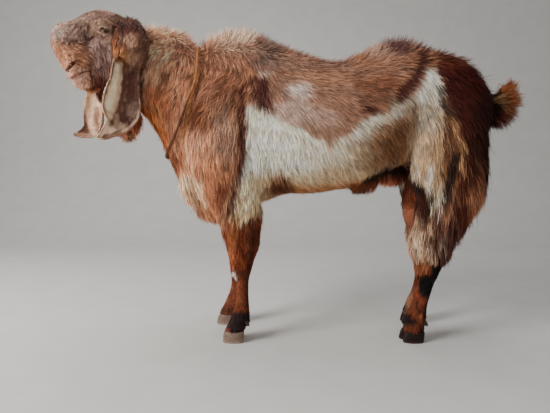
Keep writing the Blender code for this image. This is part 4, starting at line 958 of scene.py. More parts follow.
EAR_NEAR_LAYERS = (
    (O, ((130, 28), (13, 7)), (106, 58, 50), 7, 0.95),
    (S, ((112, 20), (121, 25)), 2.2, (34, 20, 20), 3, 0.9),
    (O, ((132, 38), (10, 6)), (218, 172, 146), 6, 0.85),
    (O, ((143, 42), (5, 12)), (104, 62, 48), 6, 0.8),
    (O, ((119, 50), (6, 9)), (208, 134, 82), 6, 0.85),
    (O, ((116, 38), (3, 9)), (176, 112, 78), 4, 0.8),
    (S, ((122, 37), (118, 47)), 1.2, (112, 60, 40), 2.5, 0.8),
    (O, ((131, 55), (6, 6)), (138, 104, 80), 6, 0.7),
    (O, ((121, 60), (6, 4)), (202, 136, 78), 4, 0.7),
    (P, ((104, 64), (123, 62), (123, 78), (119, 98), (113, 118), (105, 134), (97, 144), (84, 124), (88, 108), (92, 96), (98, 84), (104, 74)), (255, 222, 188), 2.4, 1.0),
    (P, ((119, 70), (123, 68), (122, 90), (118, 106), (110, 122), (106, 118), (114, 100)), (236, 196, 162), 2.4, 0.85),
    # painted shade down the flap towards its fold
    (S, ((121, 64), (120, 80), (117, 98), (112, 115), (105, 131)), 1.6, (196, 162, 134), 3.0, 0.7),
    (S, ((114, 66), (112, 82), (105, 100)), 1.0, (212, 178, 150), 2.5, 0.6),
    # painted shade in the hollow behind the flap, and the shade of the fold over the rear lobe's own dark grey-brown
    (P, ((123, 62), (129, 64), (128, 80), (125, 100), (119, 118), (110, 132), (105, 133), (113, 116), (119, 98), (122, 80)), (88, 54, 42), 3.0, 0.97),
    (P, ((128, 66), (137, 60), (141, 95), (141, 108), (138, 119), (131, 127), (120, 132), (111, 134), (119, 118), (125, 100), (128, 80)), (66, 36, 24), 4, 1.0),
    (O, ((133, 84), (4, 12)), (76, 38, 26), 5, 0.8),
    (O, ((132, 110), (5, 9)), (128, 102, 88), 5, 0.6),
    (O, ((118, 127), (10, 4)), (176, 146, 124), 4, 0.75),
    (O, ((108, 129), (6, 5)), (240, 204, 174), 4, 0.85),
    (O, ((116, 120), (3, 5)), (168, 132, 108), 3, 0.7),
    (S, ((142, 49), (135, 60), (130, 70)), 1.4, (180, 142, 114), 2.6, 0.6),
    (S, ((129, 52), (127, 62), (126, 72)), 1.2, (176, 124, 84), 2.6, 0.6),
    # a darker line along the rolled front edge: painted shade where it folds over
    (S, ((114, 60), (111, 76), (106, 91), (103, 101), (105, 112), (103, 124), (100, 137)), 1.4, (190, 152, 124), 1.4, 0.8),
    (S, ((140, 90), (140.5, 108), (137, 119), (131, 126), (121, 132), (108, 136)), 0.7, (196, 164, 138), 1.4, 0.7),
)
EAR_FAR_LAYERS = (
    (P, ((84, 70), (106, 70), (105, 128), (98, 140), (90, 131), (85, 122), (82, 112)), (224, 190, 160), 4, 1.0),
    (O, ((94, 72), (14, 14)), (150, 108, 86), 12, 0.8),
    # painted shade inside the pouch
    (O, ((97.5, 119), (4.2, 13)), (126, 82, 60), 3.0, 0.9),
    (S, ((88, 98), (91, 112), (96, 128)), 0.9, (190, 154, 128), 2.5, 0.8),
    (S, ((99, 98), (100, 112), (100, 128)), 0.9, (206, 168, 142), 2.5, 0.7),
    # painted shade on the rear flap, which hangs behind the pouch
    (P, ((84, 106), (79, 122), (76, 133), (91, 133), (86, 122)), (104, 68, 54), 2.5, 0.95),
    (S, ((84, 108), (80, 122), (77, 131)), 0.8, (196, 158, 136), 1.6, 0.8),
    (O, ((74, 132), (5, 2.5)), (232, 198, 180), 2.5, 0.95),
)


def painted(at, base, layers, ragged):
    colour = np.tile(srgb(*base), (len(at), 1))
    for layer in layers:
        if layer[0] == S:
            _, points, half, rgb, soft, strength = layer
            gap = line_gap(at, points, half)
        else:
            _, numbers, rgb, soft, strength = layer
            gap = polygon_gap(at, numbers) if layer[0] == P else oval_gap(at, *numbers)
        share = strength * smoothstep(soft * 0.5, -soft * 0.5, gap + ragged * min(soft, 4.0) * 0.5)
        colour += (srgb(*rgb) - colour) * share[:, None]
    return colour


def leg_middle(rows, z):
    rows = np.array(sorted(rows))
    return np.interp(z, rows[:, 0], rows[:, 1]), np.interp(z, rows[:, 0], rows[:, 2])


def head_share(p):
    """1 on the head, 0 on the body."""
    d = (p - np.array((-0.384, -0.060, 0.775))) @ np.array((-0.862, -0.501, 0.060))
    q = to_head(p)
    return smoothstep(-0.012, 0.012, d) * smoothstep(0.60, 0.64, p[:, 2]) * (q[:, 0] > -0.08)


def markings(p, jitter=0.0, seed=1):
    """Colour of skin and coat at each point."""
    body = p.copy()
    far = p[:, 1] > 0
    # the far legs stand elsewhere than the near ones: their markings are read at the same height of the near legs
    low = smoothstep(0.46, 0.38, p[:, 2]) * far
    front = p[:, 0] < 0.15
    fx, fy = leg_middle(FORE_RIGHT, p[:, 2])
    nx, ny = leg_middle(FORE_LEFT, p[:, 2])
    gx, gy = leg_middle(HIND_RIGHT, p[:, 2])
    hx, hy = leg_middle(HIND_LEFT, p[:, 2])
    move_x = np.where(front, nx - fx, hx - gx)
    body[:, 0] += move_x * low
    body[:, 1] = np.where(far, -np.abs(p[:, 1]), p[:, 1])
    wide = noise(p, 0.09, seed + 20)
    body[:, 0] += np.where(far & (low < 0.5), 0.030 * wide + 0.012, 0.0)
    body[:, 2] += np.where(far & (low < 0.5), 0.022 * noise(p, 0.07, seed + 21) - 0.008, 0.0)
    head = head_share(p)
    q = to_head(p)
    mirrored = from_head(np.stack([q[:, 0], np.abs(q[:, 1]), q[:, 2]], 1))
    at_body, at_head = to_picture(body), to_picture(mirrored)
    ragged = noise(p, 0.011, seed) * 0.9 + noise(p, 0.004, seed + 1) * 0.7
    colour = painted(at_body, (160, 112, 84), BODY_LAYERS, ragged)
    if head.max() > 0:
        some = head > 0
        faces = painted(at_head[some], (146, 104, 84), HEAD_LAYERS, ragged[some])
        colour[some] += (faces - colour[some]) * head[some, None]
    # under the belly and between the legs the coat is plainer and darker
    under = smoothstep(0.12, 0.02, np.abs(p[:, 1])) * smoothstep(0.50, 0.42, p[:, 2]) * smoothstep(0.30, 0.36, p[:, 2])
    colour += (srgb(150, 100, 66) - colour) * (under * 0.55)[:, None]
    far = smoothstep(0.0, 0.03, p[:, 1]) * smoothstep(0.135, 0.100, p[:, 2]) * (p[:, 0] < 0.1) * smoothstep(-1.2, 0.4, ragged)
    colour += (srgb(128, 72, 48) - colour) * (far * 0.8)[:, None]
    # tail: orange above its curl, black at its root and beneath
    tail = smoothstep(0.612, 0.634, p[:, 0]) * smoothstep(0.585, 0.625, p[:, 2]) * smoothstep(0.062, 0.040, np.abs(p[:, 1]))
    hue = painted(at_body, (24, 13, 10), ((O, ((503, 116), (11, 13)), (98, 44, 28), 6, 0.9), (O, ((508, 95), (11, 15)), (138, 80, 46), 6, 0.95), (S, ((490, 101), (497, 106)), 1.2, (186, 140, 92), 2.5, 0.6)), ragged)
    colour += (hue - colour) * tail[:, None]
    shade = 1 + 0.10 * noise(p, 0.035, seed + 3) + 0.07 * noise(p, 0.012, seed + 4)
    return np.clip(colour * shade[:, None], 0.001, 0.95)


# ---------------------------------------------------------------- lie of the coat
# places in the side picture with the hair's run there (right, down), its length (mm), lift (deg),
# tuft width (mm), gathering into locks (0 to 1), tufts per square metre (thousands) and waviness
LIE = (
    (150, 42, -0.05, 0.6, -0.4, 40, 50, 1.5, 0.5, 105, 0.10),
    (170, 34, 0.00, 0.6, -0.6, 44, 58, 1.5, 0.5, 105, 0.10),
    (192, 46, 0.00, 0.6, -0.5, 42, 52, 1.5, 0.5, 105, 0.10),
    (168, 52, -0.07, -0.5, 0.7, 40, 26, 1.6, 0.5, 105, 0.15),
    (152, 75, -0.10, -0.45, 0.85, 42, 20, 1.6, 0.55, 105, 0.15),
    (170, 78, -0.10, -0.45, 0.85, 48, 20, 1.6, 0.55, 105, 0.18),
    (187, 80, -0.10, -0.35, 0.9, 54, 20, 1.6, 0.6, 105, 0.18),
    (150, 100, -0.09, -0.05, 1.0, 45, 20, 1.6, 0.55, 105, 0.15),
    (167, 108, -0.10, -0.10, 1.0, 50, 18, 1.6, 0.6, 105, 0.15),
    (150, 120, -0.06, 0.45, 0.9, 50, 18, 1.6, 0.6, 105, 0.12),
    (160, 138, -0.05, 0.45, 0.9, 54, 18, 1.6, 0.6, 105, 0.12),
    (180, 122, -0.11, -0.15, 1.0, 54, 18, 1.6, 0.6, 105, 0.18),
    (166, 160, -0.05, 0.5, 0.85, 54, 22, 1.6, 0.6, 105, 0.12),
    (182, 182, -0.06, 0.5, 0.85, 58, 24, 1.6, 0.65, 105, 0.14),
    (198, 205, -0.07, 0.45, 0.9, 60, 26, 1.6, 0.7, 105, 0.14),
    (215, 220, -0.07, 0.2, 1.0, 58, 26, 1.6, 0.7, 105, 0.14),
    (200, 132, -0.13, 0.05, 1.0, 62, 18, 1.6, 0.65, 100, 0.20),
    (200, 165, -0.12, 0.20, 1.0, 62, 18, 1.6, 0.65, 100, 0.20),
    (216, 150, -0.13, 0.00, 1.0, 60, 18, 1.6, 0.65, 100, 0.20),
    (216, 190, -0.12, -0.05, 1.0, 62, 20, 1.6, 0.65, 100, 0.18),
    (231, 140, -0.14, -0.15, 1.0, 50, 16, 1.5, 0.55, 105, 0.14),
    (232, 182, -0.13, -0.15, 1.0, 52, 18, 1.5, 0.6, 105, 0.14),
    (210, 102, -0.13, -0.35, 0.9, 54, 20, 1.6, 0.6, 105, 0.25),
    (205, 80, -0.12, -0.6, 0.75, 48, 24, 1.6, 0.6, 105, 0.25),
    (225, 76, -0.13, -0.6, 0.7, 44, 24, 1.5, 0.55, 105, 0.20),
    (236, 102, -0.14, -0.3, 0.9, 44, 18, 1.5, 0.5, 105, 0.15),
    (245, 86, -0.14, -0.4, 0.85, 38, 18, 1.4, 0.45, 110, 0.12),
    (205, 42, 0.00, 0.5, -0.6, 46, 60, 1.4, 0.35, 110, 0.10),
    (226, 36, 0.00, 0.5, -0.6, 46, 62, 1.4, 0.35, 110, 0.10),
    (214, 58, -0.09, 0.2, 0.5, 40, 30, 1.5, 0.5, 105, 0.15),
    (250, 38, 0.00, 0.6, -0.5, 46, 60, 1.4, 0.35, 110, 0.08),
    (250, 60, -0.10, 0.3, 0.6, 36, 24, 1.4, 0.4, 110, 0.10),
    (270, 46, 0.00, 0.7, -0.4, 38, 54, 1.3, 0.35, 110, 0.06),
    (300, 55, 0.00, 0.75, -0.4, 34, 50, 1.3, 0.35, 110, 0.06),
    (330, 61, 0.00, 0.8, -0.35, 32, 46, 1.3, 0.35, 110, 0.06),
    (265, 72, -0.12, 0.45, 0.75, 32, 18, 1.3, 0.35, 115, 0.06),
    (292, 74, -0.13, 0.8, 0.45, 30, 15, 1.3, 0.3, 115, 0.05),
    (322, 78, -0.13, 0.95, 0.3, 28, 14, 1.3, 0.3, 115, 0.05),
    (352, 74, -0.12, 1.0, 0.1, 28, 16, 1.3, 0.3, 115, 0.05),
    (256, 116, -0.15, 0.0, 1.0, 34, 13, 1.3, 0.4, 115, 0.06),
    (276, 106, -0.16, 0.45, 0.9, 30, 12, 1.3, 0.3, 115, 0.05),
    (302, 104, -0.17, 0.6, 0.8, 29, 12, 1.3, 0.3, 115, 0.05),
    (332, 104, -0.17, 0.85, 0.5, 28, 12, 1.3, 0.3, 115, 0.05),
    (256, 150, -0.16, 0.0, 1.0, 40, 13, 1.3, 0.45, 115, 0.07),
    (286, 150, -0.17, 0.15, 1.0, 38, 13, 1.3, 0.4, 115, 0.06),
    (320, 150, -0.17, 0.35, 0.93, 36, 13, 1.3, 0.4, 115, 0.06),
    (346, 140, -0.17, 0.6, 0.8, 33, 13, 1.3, 0.35, 115, 0.06),
    (248, 186, -0.13, -0.05, 1.0, 50, 18, 1.4, 0.6, 110, 0.10),
    (270, 182, -0.15, 0.3, 0.95, 45, 17, 1.4, 0.55, 110, 0.08),
    (300, 181, -0.14, 0.4, 0.9, 42, 17, 1.4, 0.5, 110, 0.08),
    (332, 179, -0.14, 0.5, 0.85, 38, 17, 1.4, 0.5, 110, 0.07),
    (365, 96, -0.16, 0.95, 0.3, 28, 13, 1.3, 0.3, 115, 0.05),
    (365, 130, -0.16, 0.8, 0.6, 32, 13, 1.3, 0.35, 115, 0.06),
    (386, 118, -0.16, 0.75, 0.65, 32, 13, 1.3, 0.35, 115, 0.06),
    (370, 156, -0.15, 0.75, 0.65, 35, 16, 1.3, 0.4, 115, 0.06),
    (390, 150, -0.14, 0.6, 0.8, 36, 15, 1.3, 0.4, 115, 0.06),
    (360, 51, 0.00, 0.7, -0.5, 40, 56, 1.3, 0.4, 115, 0.05),
    (380, 43, 0.00, 0.6, -0.7, 50, 68, 1.3, 0.4, 120, 0.05),
    (395, 39, 0.00, 0.6, -0.75, 54, 70, 1.3, 0.4, 120, 0.05),
    (411, 45, 0.00, 0.65, -0.6, 48, 64, 1.3, 0.45, 115, 0.05),
    (386, 62, -0.08, 0.7, -0.25, 40, 34, 1.4, 0.45, 115, 0.06),
    (400, 78, -0.12, 0.85, 0.2, 32, 18, 1.3, 0.35, 115, 0.06),
    (374, 76, -0.12, 0.97, 0.05, 30, 16, 1.3, 0.35, 115, 0.06),
    (427, 56, 0.00, 0.9, -0.2, 40, 48, 1.4, 0.5, 115, 0.06),
    (425, 90, -0.12, 0.3, 0.9, 30, 14, 1.3, 0.35, 115, 0.06),
    (447, 58, 0.00, 0.95, -0.2, 52, 42, 1.5, 0.6, 110, 0.08),
    (464, 66, 0.00, 0.95, -0.1, 54, 38, 1.5, 0.6, 110, 0.08),
    (480, 84, 0.00, 0.9, 0.2, 52, 32, 1.5, 0.6, 110, 0.08),
    (450, 88, -0.11, 0.6, 0.8, 44, 16, 1.5, 0.5, 105, 0.10),
    (470, 106, -0.09, 0.5, 0.87, 50, 17, 1.5, 0.55, 105, 0.10),
    (456, 126, -0.12, 0.4, 0.9, 50, 17, 1.5, 0.55, 105, 0.10),
    (480, 136, -0.05, 0.35, 0.93, 54, 20, 1.5, 0.6, 105, 0.12),
    (470, 166, -0.09, 0.45, 0.90, 62, 25, 1.6, 0.65, 105, 0.12),
    (484, 182, -0.04, 0.50, 0.87, 70, 30, 1.6, 0.7, 105, 0.12),
    (468, 200, -0.08, 0.35, 0.94, 78, 28, 1.6, 0.7, 105, 0.14),
    (425, 126, -0.15, 0.15, 1.0, 36, 13, 1.4, 0.4, 110, 0.06),
    (440, 150, -0.15, 0.15, 1.0, 42, 14, 1.4, 0.45, 110, 0.08),
    (420, 158, -0.15, 0.1, 1.0, 42, 14, 1.4, 0.45, 110, 0.08),
    (436, 190, -0.13, 0.1, 1.0, 54, 17, 1.5, 0.65, 110, 0.10),
    (412, 182, -0.12, 0.5, 0.85, 42, 18, 1.5, 0.5, 105, 0.08),
    (396, 170, -0.12, 0.6, 0.75, 38, 18, 1.4, 0.5, 105, 0.08),
    (380, 180, -0.08, -0.1, 1.0, 36, 24, 1.4, 0.6, 105, 0.12),
    (424, 214, -0.12, 0.00, 1.0, 64, 22, 1.7, 0.85, 110, 0.12),
    (445, 214, -0.11, 0.10, 1.0, 76, 24, 1.7, 0.88, 110, 0.12),
    (462, 216, -0.09, 0.20, 0.98, 76, 28, 1.6, 0.75, 110, 0.14),
    (432, 236, -0.11, 0.00, 1.0, 60, 26, 1.7, 0.9, 110, 0.12),
    (415, 226, -0.12, -0.10, 1.0, 58, 24, 1.6, 0.88, 110, 0.12),
    (446, 240, -0.10, 0.08, 1.0, 58, 26, 1.6, 0.88, 110, 0.12),
    (422, 257, -0.10, -0.05, 1.0, 30, 20, 1.4, 0.7, 150, 0.05),
    (437, 262, -0.09, 0.00, 1.0, 22, 16, 1.2, 0.5, 160, 0.05),
    (428, 282, -0.10, -0.1, 1.0, 15, 13, 1.1, 0.3, 210, 0.04),
    (422, 302, -0.10, -0.25, 1.0, 12, 12, 1.0, 0.3, 230, 0.03),
    (409, 318, -0.10, -0.1, 1.0, 12, 13, 1.0, 0.3, 230, 0.03),
    (416, 321, -0.10, 0.1, 1.0, 18, 24, 1.1, 0.5, 230, 0.04),
    (408, 333, -0.10, -0.1, 1.0, 11, 16, 1.0, 0.3, 240, 0.03),
    (240, 218, -0.13, 0.0, 1.0, 44, 18, 1.5, 0.6, 110, 0.10),
    (240, 240, -0.11, 0.0, 1.0, 32, 15, 1.4, 0.5, 125, 0.06),
    (240, 262, -0.10, 0.0, 1.0, 19, 13, 1.2, 0.35, 170, 0.04),
    (252, 258, -0.10, 0.0, 1.0, 22, 16, 1.2, 0.5, 160, 0.04),
    (242, 285, -0.10, 0.0, 1.0, 12, 12, 1.0, 0.3, 230, 0.03),
    (240, 308, -0.10, 0.0, 1.0, 12, 12, 1.0, 0.3, 230, 0.03),
    (246, 318, -0.10, 0.2, 1.0, 18, 24, 1.1, 0.5, 230, 0.04),
    (232, 322, -0.10, -0.1, 1.0, 12, 14, 1.0, 0.3, 230, 0.03),
    (230, 333, -0.10, -0.1, 1.0, 11, 16, 1.0, 0.3, 240, 0.03),
)
# the same by place (x, y, z) and direction, where the side picture doesn't show it
LIE_BELOW = (
    (0.05, -0.05, 0.415, 0.6, 0, -0.35, 38, 20, 1.4, 0.5, 100, 0.08),
    (0.18, -0.05, 0.425, 0.6, 0, -0.35, 34, 20, 1.4, 0.5, 100, 0.08),
    (-0.06, -0.04, 0.385, 0.5, 0, -0.5, 42, 22, 1.5, 0.6, 100, 0.08),
    (0.26, 0.0, 0.425, -0.1, 0, -0.9, 34, 34, 1.4, 0.7, 130, 0.15),
    (0.34, -0.030, 0.462, 0.1, 0, -1.0, 38, 28, 1.4, 0.6, 120, 0.10),
    (0.385, -0.025, 0.470, 0.2, 0, -1.0, 40, 28, 1.4, 0.6, 120, 0.10),
    (0.30, -0.03, 0.450, -0.1, 0, -1.0, 36, 28, 1.4, 0.6, 120, 0.10),
    (0.42, -0.03, 0.520, 0.1, 0, -1.0, 22, 14, 1.3, 0.4, 110, 0.06),
    (-0.285, 0.0, 0.480, 0.2, 0, -1.0, 52, 22, 1.6, 0.65, 100, 0.15),
    (-0.25, 0.0, 0.400, 0.3, 0, -1.0, 54, 28, 1.6, 0.7, 105, 0.15),
    (-0.18, 0.0, 0.355, 0.4, 0, -0.9, 50, 30, 1.6, 0.7, 105, 0.15),
    (-0.12, -0.03, 0.360, 0.4, 0, -0.9, 44, 24, 1.5, 0.6, 105, 0.10),
    (-0.33, -0.02, 0.580, 0.3, 0, -0.9, 52, 20, 1.6, 0.6, 100, 0.12),
    (-0.38, -0.06, 0.640, 0.2, 0, -1.0, 54, 24, 1.6, 0.65, 105, 0.12),
    (-0.42, -0.09, 0.610, 0.1, 0, -1.0, 50, 26, 1.6, 0.75, 130, 0.12),
    (-0.445, -0.09, 0.640, 0.0, 0, -1.0, 44, 22, 1.5, 0.65, 120, 0.12),
    (0.605, 0.0, 0.660, 0.15, 0, -1.0, 54, 20, 1.6, 0.65, 105, 0.10),
    (0.600, -0.05, 0.600, 0.25, 0, -1.0, 60, 24, 1.6, 0.7, 105, 0.12),
    (0.560, -0.03, 0.520, 0.35, 0, -1.0, 66, 30, 1.6, 0.65, 100, 0.12),
    (0.47, -0.035, 0.450, 0.05, 0, -1.0, 36, 16, 1.4, 0.5, 105, 0.08),
    (0.48, -0.045, 0.350, 0.0, 0, -1.0, 40, 20, 1.5, 0.6, 110, 0.10),
    (-0.10, -0.05, 0.330, 0.0, 0, -1.0, 28, 14, 1.4, 0.4, 115, 0.05),
    (0.605, 0.0, 0.722, 0.85, 0, -0.10, 46, 24, 1.4, 0.6, 150, 0.06),
    (0.640, 0.0, 0.708, 0.75, 0, 0.55, 50, 32, 1.4, 0.6, 200, 0.06),
    (0.618, 0.0, 0.650, 0.60, 0, -0.80, 48, 34, 1.5, 0.65, 200, 0.08),
    (0.645, 0.0, 0.642, 0.55, 0, -0.85, 50, 42, 1.5, 0.65, 220, 0.08),
    (0.672, 0.0, 0.655, 0.80, 0, -0.50, 60, 40, 1.5, 0.6, 220, 0.08),
    (0.690, 0.0, 0.685, 0.90, 0, 0.05, 62, 38, 1.4, 0.6, 230, 0.06),
    (0.666, 0.0, 0.712, 0.00, 0, 1.0, 44, 36, 1.4, 0.6, 230, 0.06),
    (0.693, 0.0, 0.712, 0.65, 0, 0.8, 60, 24, 1.4, 0.6, 260, 0.06),
    (0.691, 0.0, 0.730, 0.35, 0, 1.0, 54, 18, 1.4, 0.6, 300, 0.06),
)
# the same in the head's frame (forward, left, up)
LIE_HEAD = (
    (0.120, 0.000, 0.062, -1.0, 0.0, 0.10, 8, 12, 0.9, 0.2, 300, 0.03),
    (0.150, 0.000, 0.064, -1.0, 0.0, 0.10, 6, 12, 0.8, 0.2, 330, 0.03),
    (0.178, 0.000, 0.040, -0.6, 0.0, 0.80, 5, 12, 0.8, 0.2, 340, 0.02),
    (0.190, 0.000, 0.000, -0.1, 0.0, 1.0, 4, 12, 0.7, 0.1, 330, 0.02),
    (0.192, 0.000, -0.030, 0.0, 0.0, 1.0, 3, 10, 0.7, 0.1, 260, 0.02),
    (0.160, 0.036, 0.010, -0.9, 0.0, 0.30, 7, 12, 0.8, 0.2, 320, 0.03),
    (0.160, 0.034, -0.040, -0.8, 0.1, -0.50, 7, 14, 0.8, 0.2, 300, 0.03),
    (0.190, 0.016, -0.048, -0.1, 0.3, -1.0, 4, 14, 0.7, 0.1, 300, 0.02),
    (0.120, 0.042, -0.020, -1.0, 0.0, -0.15, 9, 12, 0.9, 0.2, 290, 0.03),
    (0.120, 0.040, 0.030, -1.0, 0.0, 0.25, 8, 12, 0.9, 0.2, 300, 0.03),
    (0.092, 0.046, -0.010, -0.9, 0.0, -0.40, 9, 12, 0.9, 0.2, 290, 0.03),
    (0.060, 0.056, -0.020, -0.8, 0.0, -0.60, 13, 14, 1.0, 0.3, 240, 0.05),
    (0.060, 0.020, 0.068, -1.0, 0.1, 0.10, 11, 14, 0.9, 0.3, 280, 0.04),
    (0.090, 0.015, 0.064, -1.0, 0.1, 0.20, 9, 12, 0.9, 0.3, 290, 0.04),
    (0.025, 0.000, 0.062, -1.0, 0.0, -0.20, 17, 22, 1.1, 0.4, 200, 0.06),
    (0.000, 0.000, 0.048, -1.0, 0.0, -0.60, 26, 28, 1.3, 0.5, 150, 0.08),
    (-0.025, 0.000, 0.020, -1.0, 0.0, -0.70, 32, 30, 1.4, 0.5, 130, 0.08),
    (0.020, 0.045, 0.035, -0.9, 0.2, -0.40, 18, 20, 1.1, 0.4, 190, 0.06),
    (0.075, 0.056, 0.040, -0.7, 0.2, 0.50, 7, 12, 0.8, 0.2, 320, 0.03),
    (0.050, 0.058, 0.020, -1.0, 0.1, 0.10, 8, 12, 0.8, 0.2, 320, 0.03),
    (0.090, 0.054, 0.016, -0.8, 0.0, 0.60, 6, 12, 0.8, 0.2, 330, 0.03),
    (0.072, 0.062, -0.004, -0.9, 0.0, -0.30, 6, 12, 0.8, 0.2, 330, 0.03),
    (0.050, 0.050, -0.055, -0.6, 0.0, -0.80, 22, 18, 1.2, 0.45, 170, 0.08),
    (0.020, 0.048, -0.075, -0.5, 0.0, -0.90, 30, 20, 1.3, 0.5, 150, 0.10),
    (-0.010, 0.045, -0.060, -0.5, 0.0, -0.90, 34, 22, 1.4, 0.5, 130, 0.10),
    (0.085, 0.042, -0.080, -0.7, 0.0, -0.75, 15, 16, 1.1, 0.35, 210, 0.06),
    (0.120, 0.034, -0.075, -0.9, 0.0, -0.50, 10, 14, 0.9, 0.3, 260, 0.04),
    (0.165, 0.026, -0.075, -0.6, 0.1, -0.80, 8, 16, 0.8, 0.3, 280, 0.03),
    (0.186, 0.000, -0.075, -0.1, 0.0, -1.0, 6, 18, 0.8, 0.3, 280, 0.03),
    (0.160, 0.000, -0.098, 0.15, 0.0, -1.0, 36, 40, 1.2, 0.85, 420, 0.08),
    (0.172, 0.006, -0.094, 0.10, 0.0, -1.0, 24, 34, 1.1, 0.7, 380, 0.06),
    (0.130, 0.000, -0.100, -0.2, 0.0, -1.0, 18, 26, 1.1, 0.5, 240, 0.06),
    (0.090, 0.000, -0.118, -0.4, 0.0, -1.0, 22, 26, 1.2, 0.5, 190, 0.08),
    (0.050, 0.000, -0.125, -0.4, 0.0, -1.0, 34, 28, 1.4, 0.55, 150, 0.10),
    (0.010, 0.000, -0.118, -0.3, 0.0, -1.0, 44, 28, 1.5, 0.6, 130, 0.10),
)


# the face's hair as the picture shows it: place (u, v), its run there (right, down), length (mm) and lift (deg)
FACE_FLOW = (
    (59, 29, 0.3, 1.0, 9, 12), (55, 41, 0.35, 0.95, 10, 14), (60, 51, 0.5, 0.85, 12, 15), (63, 60, 0.5, 0.85, 11, 14),
    (69, 51, 0.85, 0.5, 13, 16), (78, 54, 0.95, 0.3, 14, 16), (86, 58, 0.8, 0.6, 16, 16), (92, 64, 0.5, 0.85, 18, 16),
    (76, 59, 0.9, 0.4, 12, 15), (84, 66, 0.8, 0.5, 10, 14), (70, 37, -0.5, 0.85, 12, 16), (78, 33, -0.55, 0.83, 13, 16),
    (66, 27, -0.5, 0.85, 10, 15), (74, 26, -0.6, 0.8, 12, 16), (74, 45, 0.9, 0.35, 13, 17), (82, 46, 0.95, 0.25, 14, 17), (88, 50, 0.8, 0.6, 15, 16),
    (82, 22, -0.7, 0.7, 12, 16), (87, 30, -0.3, 0.95, 12, 16), (92, 24, -0.2, 1.0, 11, 14), (97, 23, 0.0, 1.0, 9, 12),
    (103, 21, 0.15, 1.0, 9, 12), (108, 24, 0.2, 1.0, 12, 14), (97, 13, -0.7, 0.6, 13, 18), (106, 15, -0.4, 0.9, 15, 20),
    (92, 40, 0.25, 1.0, 10, 12), (100, 38, 0.2, 1.0, 8, 10), (108, 36, 0.15, 1.0, 12, 14), (90, 46, 0.4, 0.9, 14, 15),
    (98, 47, 0.2, 1.0, 16, 15), (106, 47, 0.1, 1.0, 18, 15), (96, 56, 0.15, 1.0, 18, 16), (104, 58, 0.1, 1.0, 20, 16),
    (98, 67, 0.05, 1.0, 22, 17), (106, 70, 0.0, 1.0, 26, 18), (96, 78, 0.05, 1.0, 26, 18), (103, 84, 0.05, 1.0, 32, 20),
    (92, 82, -0.05, 1.0, 20, 16), (70, 75, 0.3, 0.9, 5, 10), (77, 70, 0.5, 0.8, 6, 11), (84, 74, 0.3, 1.0, 8, 13),
    (78, 80, 0.35, 0.95, 8, 14), (84, 86, 0.2, 1.0, 13, 18), (110, 56, 0.1, 1.0, 20, 16),
)


def lie_table(seen):
    rows = []
    for u, v, y, right, down, *rest in LIE:
        at = from_picture(u, v, y)
        for s in (1, -1) if y != 0 else (1,):
            rows.append([at[0], at[1] * s, at[2], right, 0.0, -down, *rest])
    for x, y, z, dx, dy, dz, *rest in LIE_BELOW:
        for s in (1, -1) if y != 0 and x > -0.32 else (1,):
            rows.append([x, y * s, z, dx, dy * s, dz, *rest])
    body_rows = len(rows)
    for f, l, u, df, dl, du, length, lift, width, gather, many, wave in LIE_HEAD:
        if l != 0 and f > 0.045 and length < 25:
            continue
        for s in (1, -1) if l != 0 else (1,):
            at, run = from_head((f, l * s, u)), np.array((df, dl * s, du)) @ HEAD_TURN
            if length < 14 and f < 0.175:
                rows.append([*at, *run, length * 1.2 + 4, lift + 5, 1.25, max(gather, 0.7), 230, wave + 0.06])
            else:
                rows.append([*at, *run, length, lift, width, gather, many, wave])
    for u, v, right, down, length, lift in FACE_FLOW:
        pair = seen.at(((u, v), (u + 1.6 * right, v + 1.6 * down)))
        if len(pair) < 2 or np.linalg.norm(pair[1] - pair[0]) > 0.02:
            continue
        at, run = to_head(pair[0]), unit(pair[1] - pair[0]) @ HEAD_TURN.T
        rest = [length, lift, 1.05 + 0.015 * length, 0.78, 270 - 5.5 * length, 0.12]
        for s in (1, -1):
            rows.append([*from_head(at * (1, s, 1)), *((run * (1, s, 1)) @ HEAD_TURN), *rest])
    return np.array(rows, float), body_rows


def lie_at(p, rows, body_rows):
    """Run, length, lift, width, gathering, density and waviness of the coat at each point."""
    out = np.empty((len(p), 9))
    table = np.hstack([unit(rows[:, 3:6]), rows[:, 6:]])
    head_rows = np.arange(len(rows)) >= body_rows
    soft = np.where(head_rows, 0.006, 0.012)[None] ** 2
    for start in range(0, len(p), 20000):
        part = p[start : start + 20000]
        d2 = ((part[:, None, :] - rows[None, :, :3]) ** 2).sum(-1)
        w = 1.0 / (d2 + soft) ** 2.2
        w *= np.where(head_rows[None], 0.004 + head_share(part)[:, None], 1.004 - head_share(part)[:, None])
        out[start : start + 20000] = (w / w.sum(1, keepdims=True)) @ table
    return np.column_stack([out[:, :3], out[:, 3] * 0.001, np.radians(out[:, 4]), out[:, 5] * 0.00080, out[:, 6], out[:, 7] * 1350.0, out[:, 8]])


